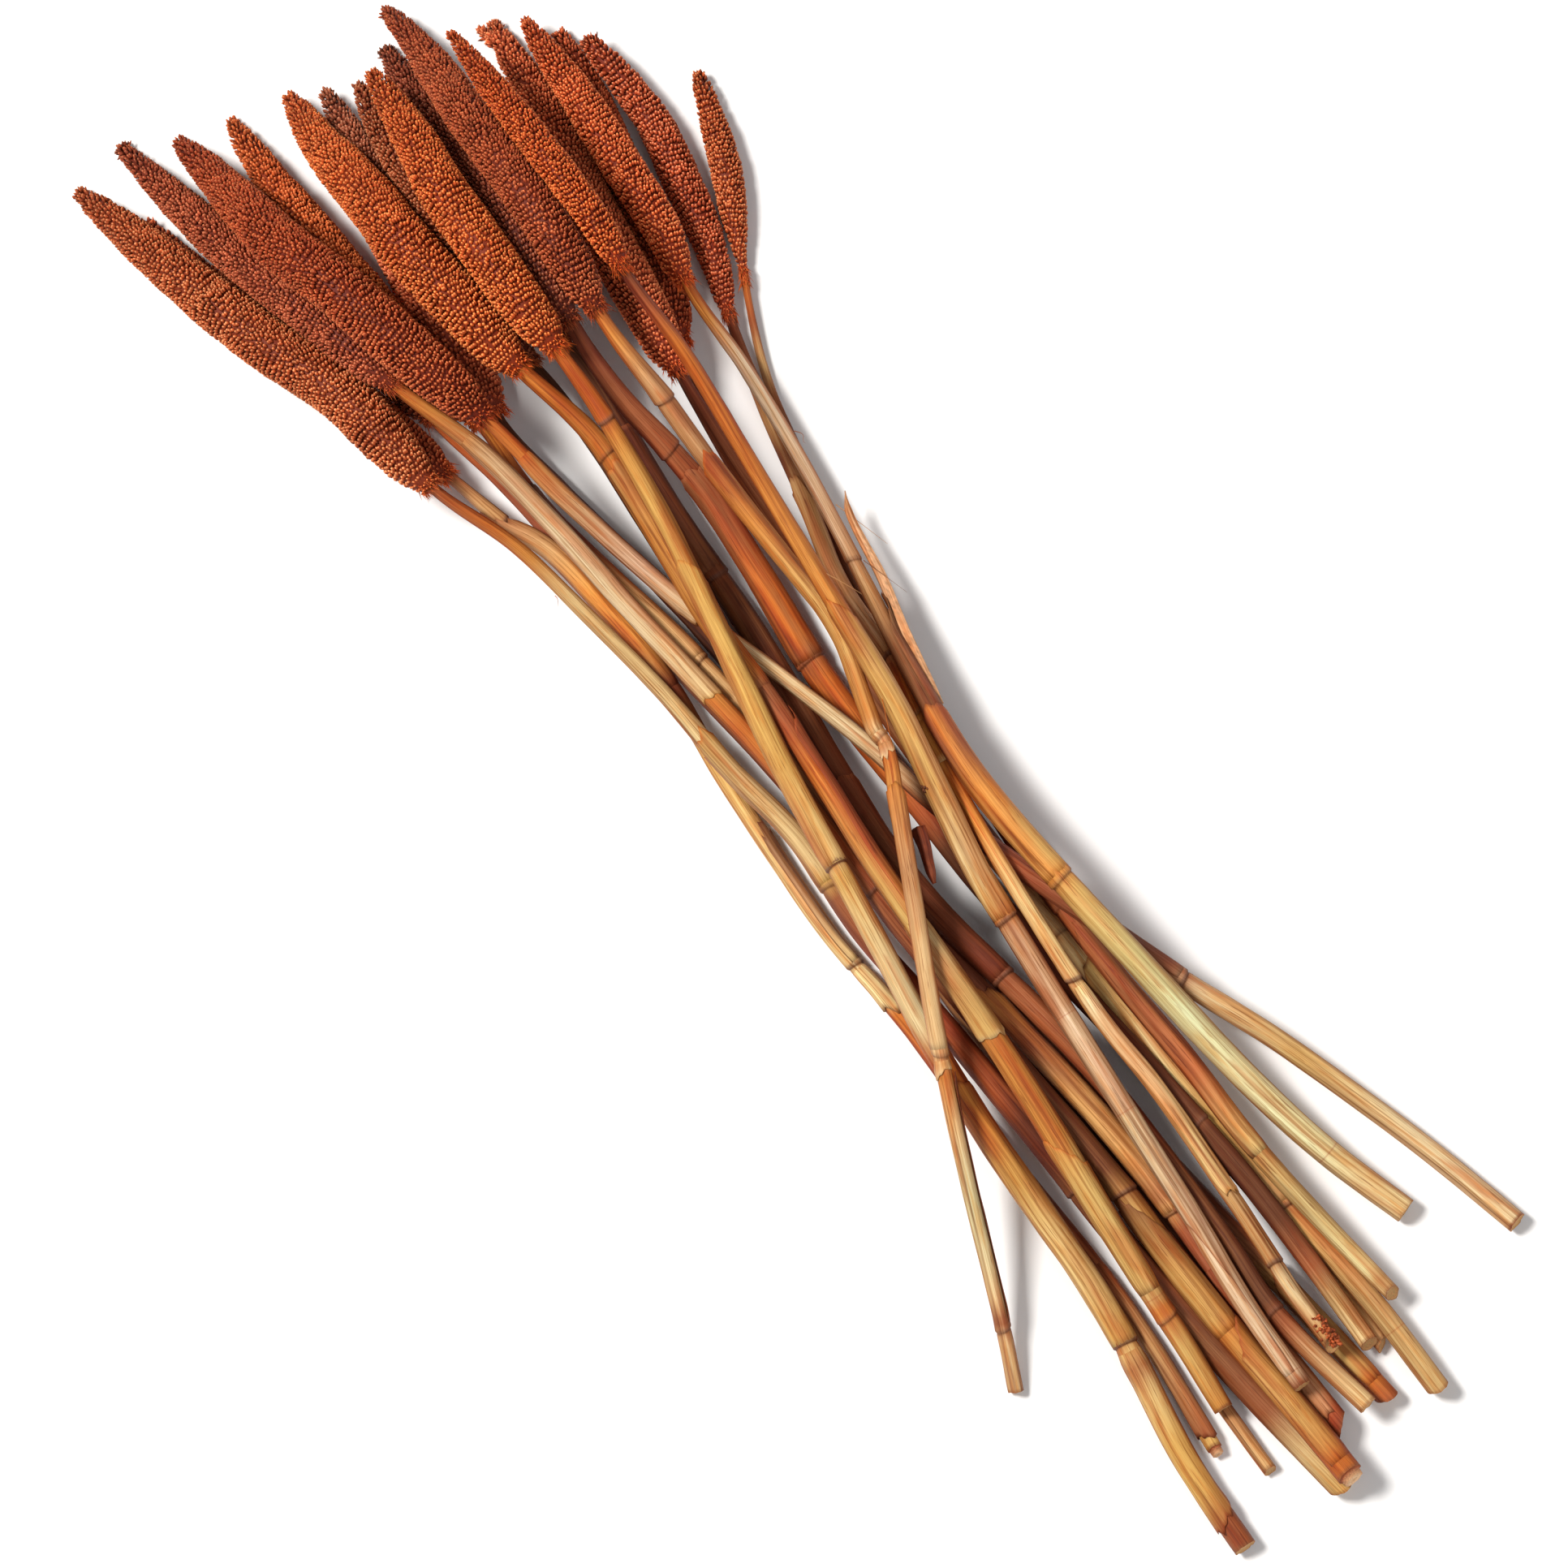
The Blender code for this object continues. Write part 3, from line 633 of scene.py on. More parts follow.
def add_culm(shape, culm, spec, rng):
    """The stem, from inside its seed head to its slanting cut."""
    line = culm.line
    rows = culm.rows()
    s, angle = np.meshgrid(rows, turns(STEM_COLUMNS), indexing="ij")
    radius = culm.radius(s, angle)
    slant, toward = spec["cut"]
    pull = ease(rows, line.length - 14.0, line.length)[:, None] * math.tan(math.radians(slant))
    ragged = 0.2 * rng.uniform(-1.0, 1.0, STEM_COLUMNS) * ease(rows, line.length - 3.0, line.length)[:, None]
    aslant = s - pull * radius * np.cos(angle - math.radians(toward)) + ragged
    surface = line.around(aslant, angle, radius)
    tint = culm_tint(culm, spec, rows, s, angle)
    faces, i, j = grid_faces(len(rows), STEM_COLUMNS, True)
    across = np.arange(STEM_COLUMNS + 1) / STEM_COLUMNS * 2 * math.pi * np.mean(culm.radii)
    grain = grid_grain(i, j, across, rows + GRAIN_APART * culm.number)
    shape.add(surface, faces, tint.reshape(-1, 3), 1.0, grain)
    add_cut_face(shape, line, surface[-1], spec.get("end") == "pale", rng)
    start = np.vstack([surface[0], surface[0].mean(axis=0)])
    shape.add(start, fan_faces(STEM_COLUMNS)[:, [1, 0, 2]], COLOURS["amber"])
    if spec.get("end") == "crumbly":
        add_crumbs(shape, culm, rng)


def add_crumbs(shape, culm, rng):
    """The broken fibrous end of a stem."""
    s = culm.line.length + 1.0 - 13.0 * rng.uniform(0.0, 1.0, CRUMBS) ** 1.1
    angle = rng.normal(0.7, 0.55, CRUMBS)
    centre, ahead, out = culm.line.spoke(s, angle)
    base = centre + out * (culm.radius(s, angle) * rng.uniform(0.7, 0.98, CRUMBS))[:, None]
    lean = unit(out + 0.9 * rng.standard_normal((CRUMBS, 3)) + 0.3 * ahead)
    tint = np.array(COLOURS["rust"]) * rng.uniform(0.45, 1.4, CRUMBS)[:, None]
    length, width = rng.uniform(1.2, 2.3, CRUMBS), rng.uniform(1.0, 1.8, CRUMBS)
    add_pegs(shape, base, lean, unit(np.cross(lean, ahead)), length, width, tint)


def add_cut_face(shape, line, rim, pale, rng):
    """The cut: a rind, a step and pith, which stands proud of a pale end."""
    columns = len(rim)
    middle = rim.mean(axis=0)
    ahead = line.direction(line.length)
    proud = PROUD if pale else SUNK
    rough = 0.1 * rng.standard_normal((columns, 1))
    levels = [rim, middle + (rim - middle) * RIND, middle + (rim - middle) * STEP + ahead * proud,
              middle + (rim - middle) * PITH + ahead * (proud + 0.15 + rough)]
    names = PALE_CUT_RINGS if pale else CUT_RINGS
    tint = np.vstack([np.repeat([COLOURS[name] for name in names[:4]], columns, axis=0), COLOURS[names[4]]])
    quads, _, _ = grid_faces(len(levels), columns, True)
    first = shape.add(np.vstack([*levels, middle + ahead * (proud + 0.1)]), quads, tint, kind=1)
    shape.join(fan_faces(columns) + (len(levels) - 1) * columns, first, kind=1)


def add_sheath(shape, culm, spec, stops_under, number, rng):
    """A leaf sheath that clasps the stem from its foot and ends torn, towards the head or the cut."""
    line = culm.line
    low, high = line.at_x(spec["tip"]), line.at_x(spec["foot"])
    way = 1.0 if high > low else -1.0
    reach = abs(high - low)
    wrap = math.radians(spec["wrap"])
    point = min(spec.get("point", 12.0), 0.8 * reach)
    ragged = spec.get("ragged", 1.0)
    across = np.linspace(-1.0, 1.0, SHEATH_COLUMNS)
    waves = np.sin(across * 5.0 + number)
    jag = ragged * (1.2 * rng.uniform(-1.0, 1.0, SHEATH_COLUMNS) + waves)
    jag = jag + 1.6 * ragged * rng.uniform(-0.2, 1.0, SHEATH_COLUMNS) ** 7
    ends = low + way * (point * np.abs(across - rng.uniform(-0.35, 0.35)) ** 1.3 + jag)
    count = max(5, int(reach / SHEATH_STEP))
    share = np.linspace(0.0, 1.0, count) ** 1.1
    s = ends[None, :] + (high - ends)[None, :] * share[:, None]
    angle = math.radians(spec["turn"]) + 0.5 * wrap * across[None, :] + 0.05 * np.sin(s / 9.0 + number)
    past, left = (s - low) * way, (high - s) * way          # past the torn end and left to the foot

    free = ease(past, min(22.0, 0.7 * reach), 0.0)
    edge = np.abs(across)[None, :]
    stand = 0.34 + spec.get("lift", 0.5) * free * (0.6 + 0.4 * waves)
    stand = stand + 0.25 * edge ** 4 * spec.get("gape", 1.0)
    ribs = 0.24 * grid_noise(angle * 3.5, np.zeros_like(s), s * 0.02, 0.7, 700 + number)
    radius = culm.radius(s, angle) + ((stand + ribs) * ease(left, 0.0, 5.0) + 0.05)

    x = line.centre(s.reshape(-1))[:, 0]
    names = spec["colours"]
    stops = [(spec["tip"] + (spec["foot"] - spec["tip"]) * k / (len(names) - 1), name)
             for k, name in enumerate(names)]
    tint = colour_at(stops if way > 0 else stops[::-1], x).reshape(s.shape + (3,))
    close = ease(left, 9.0, 0.0)[..., None]
    tint = tint * (1.0 - close) + colour_at(stops_under, x).reshape(s.shape + (3,)) * close
    tint = culm.stain_and_shade(tint, s, angle, number)
    if "streak" in spec:
        amount = 1.3 * grid_noise(angle * 2.5, np.zeros_like(s), s * 0.012, 0.9, 740 + number)
        tint = blend(tint, spec["streak"], np.clip(amount, 0.0, 0.75))
    torn = 0.75 * np.exp(-np.abs(s - ends[None, :]) / 0.9)
    border = np.maximum(torn, 0.7 * edge ** 10)
    tint = blend(tint, spec.get("edge", "copper"), border).reshape(-1, 3)

    faces, i, j = grid_faces(count, SHEATH_COLUMNS, False)
    grain = grid_grain(i, j, across * 0.5 * wrap * np.mean(culm.radii) + 77.0,
                       low + (high - low) * share + GRAIN_APART * number + SHEATH_GRAIN)
    outwards = slice(None) if way > 0 else slice(None, None, -1)
    inwards = slice(None, None, -1) if way > 0 else slice(None)
    first = shape.add(line.around(s, angle, radius), faces[:, outwards], tint, 1.0, grain[:, outwards])
    inner = line.around(s, angle, radius - SHEATH_THICK)
    # the inner face: the outer colours darkened as painted shade
    shape.add(inner, faces[:, inwards], tint * 0.8, 1.0, grain[:, inwards])
    shape.join(rim_walls(count, SHEATH_COLUMNS)[:, outwards], first)


def add_fibre(shape, line, spec):
    """A fine broken fibre that stands off a stem: (x, angle, length, curl, colour)."""
    x, turn, length, curl, colour = spec
    centre, ahead, out = line.spoke(line.at_x(x), np.radians(turn))
    t = np.linspace(0.0, 1.0, FIBRE_ROWS)[:, None]
    path = centre + out * (4.0 + length * 0.35 * t) + ahead * length * t * 0.8
    path = path + np.cross(out, ahead) * np.sin(t * curl) * length * 0.3
    tangent = unit(np.gradient(path, axis=0))
    a = unit(np.cross(tangent, out))
    b = np.cross(tangent, a)
    thick = FIBRE_RADIUS * (1.0 - 0.7 * t)
    points = (path + thick * turned(a, b, FIBRE_TURNS[:, None])).transpose(1, 0, 2)
    faces, _, _ = grid_faces(FIBRE_ROWS, len(FIBRE_TURNS), True)
    shape.add(points, faces, COLOURS[colour])
    shape.add(points[0], [(2, 1, 0)], COLOURS[colour])
    shape.add(points[-1], [(0, 1, 2)], COLOURS[colour])


def add_knot(shape, culm, spec, rng):
    """A small dark knob of a dead bud: (x, angle, size)."""
    x, turn, size = spec
    s = culm.line.at_x(x) + 0.35 * size * rng.standard_normal(KNOT_PEGS)
    angle = math.radians(turn) + 0.1 * size * rng.standard_normal(KNOT_PEGS)
    centre, ahead, out = culm.line.spoke(s, angle)
    lean = unit(out + 0.6 * rng.standard_normal((KNOT_PEGS, 3)))
    base = centre + out * (culm.radius(s, angle) - 0.3)[:, None]
    tint = np.array(COLOURS["umber"]) * rng.uniform(0.5, 1.3, KNOT_PEGS)[:, None]
    length, width = size * rng.uniform(0.6, 1.0, KNOT_PEGS), size * rng.uniform(0.5, 0.8, KNOT_PEGS)
    add_pegs(shape, base, lean, unit(np.cross(lean, ahead)), length, width, tint)


def stem(number, line, neck, distances, radii, spec):
    """One stem with its sheaths, fibres and knots."""
    rng = np.random.default_rng(STEM_DRAWS + number)
    culm = Culm(number, line, neck, distances, radii, spec)
    shape = Shape()
    add_culm(shape, culm, spec, rng)
    for k, cover in enumerate(spec.get("sheaths", ())):
        add_sheath(shape, culm, cover, spec["stops"], number * 10 + k, rng)
    for fibre in spec.get("fibres", ()):
        add_fibre(shape, line, fibre)
    for knot in spec.get("knots", ()):
        add_knot(shape, culm, knot, rng)
    name = f"stem_{number:02d}"
    shape.to_piece("millet_" + name, [straw_material, pith_material], name)


# ---------------------------------------------------------------- materials
class Paint:
    """A new material, and makers of its nodes that return the socket of their result."""

    def __init__(self, name, roughness, specular=0.5):
        self.material = bpy.data.materials.new(name)
        self.material.use_nodes = True
        self.shader = self.material.node_tree.nodes["Principled BSDF"]
        self.shader.inputs["Roughness"].default_value = roughness
        self.shader.inputs["Specular IOR Level"].default_value = specular

    def node(self, kind, output, inputs, **settings):
        """A new node; each of inputs is a constant or the socket that leads there."""
        node = self.material.node_tree.nodes.new("ShaderNode" + kind)
        for name, value in settings.items():
            setattr(node, name, value)
        for name, value in inputs.items():
            if isinstance(value, bpy.types.NodeSocket):
                self.material.node_tree.links.new(value, node.inputs[name])
            else:
                node.inputs[name].default_value = value
        return node.outputs[output]

    def end(self, name, socket):
        """Lead a socket into the shader."""
        self.material.node_tree.links.new(socket, self.shader.inputs[name])

    def attribute(self, name, output):
        return self.node("Attribute", output, {}, attribute_name=name)

    def place(self):
        return self.node("TexCoord", "Object", {})

    def ramp(self, factor, stops):
        """Colours that follow factor, eased between stops (value, colour)."""
        colours = self.node("ValToRGB", "Color", {"Fac": factor})
        colours.node.color_ramp.interpolation = "EASE"
        elements = colours.node.color_ramp.elements
        while len(elements) > 1:
            elements.remove(elements[-1])
        elements[0].position, elements[0].color = stops[0][0], (*stops[0][1], 1.0)
        for position, colour in stops[1:]:
            elements.new(position).color = (*colour, 1.0)
        return colours

    def multiply(self, share, a, b):
        """Colour a times colour b, by share."""
        return self.node("Mix", 2, {0: share, 6: a, 7: b}, data_type="RGBA", blend_type="MULTIPLY")

    def bump(self, height, strength, distance):
        inputs = {"Height": height, "Strength": strength, "Distance": distance}
        self.end("Normal", self.node("Bump", "Normal", inputs))


def seed_material(slot):
    """Dyed seeds with painted shade in the gaps and a painted highlight on their crowns, times the head's
    tone.
    """
    shaded_gap, side, crown = HEAD_COLOURS[slot]
    shaded_side = tuple(0.6 * channel for channel in side)
    paint = Paint(slot + "_seeds", 0.62, 0.2)
    depth = paint.attribute("depth", "Fac")
    # painted shade at the seeds' feet, a painted highlight on their crowns
    painted_shade_ramp = paint.ramp(depth, [(0.0, shaded_gap), (0.45, shaded_side), (0.76, side), (1.0, crown)])
    fine = paint.node("TexNoise", "Fac", {"Vector": paint.place(), "Scale": 1400.0, "Detail": 3.0})
    speck = paint.ramp(fine, [(0.3, (0.76, 0.74, 0.72)), (0.7, (1.2, 1.2, 1.2))])
    toned = paint.multiply(1.0, painted_shade_ramp, paint.attribute("tint", "Color"))
    paint.end("Base Color", paint.multiply(1.0, toned, speck))
    paint.bump(fine, 0.25, 0.0002)
    return paint.material


# layers over the straw's own colour: share, patches in a mm (across, along), place, detail, roughness, ramp
STRAW_LINES = (0.85, (4.6, 0.03, 1.0), (0.0, 0.0, 0.0), 3.0, 0.6,
               [(0.30, (0.66, 0.52, 0.40)), (0.44, (0.93, 0.88, 0.82)), (0.58, (1.04, 1.04, 1.02)),
                (0.72, (1.12, 1.16, 1.2))])
STRAW_STREAKS = (0.8, (1.0, 0.011, 1.0), (5.0, 9.0, 0.0), 2.0, 0.5,
                 [(0.33, (0.60, 0.43, 0.28)), (0.46, (0.93, 0.87, 0.80)), (0.56, (1.05, 1.05, 1.03)),
                  (0.68, (1.22, 1.30, 1.38))])
STRAW_POOLS = (0.8, (0.35, 0.03, 1.0), (3.0, 1.0, 0.0), 3.0, 0.6,
               [(0.34, (0.92, 0.66, 0.44)), (0.52, (1.0, 1.0, 1.0)), (0.7, (1.06, 1.08, 1.1))])
STRAW_FLECKS = (0.7, (2.2, 0.05, 1.0), (1.0, 7.0, 0.0), 2.0, 0.5,
                [(0.62, (1.0, 1.0, 1.0)), (0.67, (0.45, 0.26, 0.17))])


def make_straw():
    """Dried culm and sheath: fine lines along the grain, dye that has pooled in patches, a dull shine."""
    paint = Paint("dried_straw", 0.5, 0.28)
    grain = paint.node("UVMap", "UV", {}, uv_map="grain")
    colour = paint.attribute("tint", "Color")
    patterns = []
    for share, pitch, move, detail, rough, stops in (STRAW_LINES, STRAW_STREAKS, STRAW_POOLS, STRAW_FLECKS):
        place = paint.node("Mapping", "Vector", {"Vector": grain, "Scale": pitch, "Location": move})
        patterns.append(paint.node("TexNoise", "Fac", {"Vector": place, "Scale": 1.0, "Detail": detail,
                                                       "Roughness": rough}))
        colour = paint.multiply(share, colour, paint.ramp(patterns[-1], stops))
    lines = patterns[0]
    paint.end("Base Color", colour)
    paint.end("Roughness", paint.node("MapRange", "Result", {"Value": lines, "To Min": 0.68, "To Max": 0.5}))
    paint.bump(lines, 0.8, 0.0004)
    return paint.material


def make_pith():
    """The cut: spongy pith full of pores, inside a rind."""
    paint = Paint("cut_pith", 0.85)
    pores = paint.node("TexVoronoi", "Distance", {"Vector": paint.place(), "Scale": 1700.0})
    holes = paint.ramp(pores, [(0.0, (0.35, 0.3, 0.25)), (0.4, (1.15, 1.1, 1.0))])
    paint.end("Base Color", paint.multiply(1.0, paint.attribute("tint", "Color"), holes))
    paint.bump(pores, 0.6, 0.0003)
    return paint.material


head_materials = {slot: seed_material(slot) for slot in HEAD_COLOURS}
straw_material = make_straw()
pith_material = make_pith()


# ---------------------------------------------------------------- what each stalk looks like
def dye_and_shade_stops(text):
    """Stops (X, colour) from text such as "umber -167 226, rust 301": dye, with painted shade in some
    stretches.
    """
    found = []
    for part in text.split(","):
        name, *places = part.split()
        found += [(float(x), name) for x in places]
    return found


def sheath(foot, tip, wrap, turn, colours, **more):
    """A leaf sheath between two X, which covers wrap degrees about turn; its colours run from tip to foot.

    ragged, lift, point and gape are how far its torn end is frayed, stands off and runs out to a point, and
    how far its edges gape; edge is the colour of its edges and streak that of streaks along it.
    """
    return dict(foot=foot, tip=tip, wrap=wrap, turn=turn, colours=colours.split(), **more)


# tone multiplies the colours; frayed is how ragged the tip is and loose how much wider its rows get;
# second_tuft is a side tip: its distance, angle (radians) and length
HEADS = {
    1: dict(slot="seed_head_umber", tone=(1.9, 2.2, 2.4)),
    2: dict(slot="seed_head_umber", tone=(1.05, 1.6, 2.2)),
    3: dict(slot="seed_head_mauve"),
    4: dict(slot="seed_head_orange", tone=(1.15, 1.32, 1.85)),
    5: dict(slot="seed_head_umber", tone=(1.25, 1.2, 1.1), frayed=0.3),
    6: dict(slot="seed_head_mauve", tone=(1.7, 1.8, 1.7), frayed=0.8, second_tuft=(9.0, -1.2, 9.0)),
    7: dict(slot="seed_head_mauve", tone=(1.45, 1.45, 1.35)),
    8: dict(slot="seed_head_rust", tone=(1.02, 1.2, 1.22), frayed=0.2),
    9: dict(slot="seed_head_rust", tone=(0.72, 0.88, 1.0)),
    10: dict(slot="seed_head_mauve", tone=(0.85, 0.95, 1.1), frayed=1.0),
    11: dict(slot="seed_head_mauve", tone=(1.03, 1.06, 1.1), frayed=1.0),
    12: dict(slot="seed_head_rust", tone=(1.02, 1.1, 1.05), loose=0.3),
    13: dict(slot="seed_head_rust", tone=(0.76, 0.64, 0.55)),
    14: dict(slot="seed_head_rust", tone=(1.18, 1.2, 0.86)),
    15: dict(slot="seed_head_rust", tone=(1.08, 1.05, 1.2), frayed=0.9),
    16: dict(slot="seed_head_rust", tone=(1.25, 1.18, 1.02)),
    17: dict(slot="seed_head_rust", tone=(1.16, 1.14, 0.76), frayed=0.3),
    18: dict(slot="seed_head_mauve", tone=(0.98, 0.92, 0.78), frayed=0.3),
    19: dict(slot="seed_head_rust", tone=(1.08, 0.93, 0.58)),
}

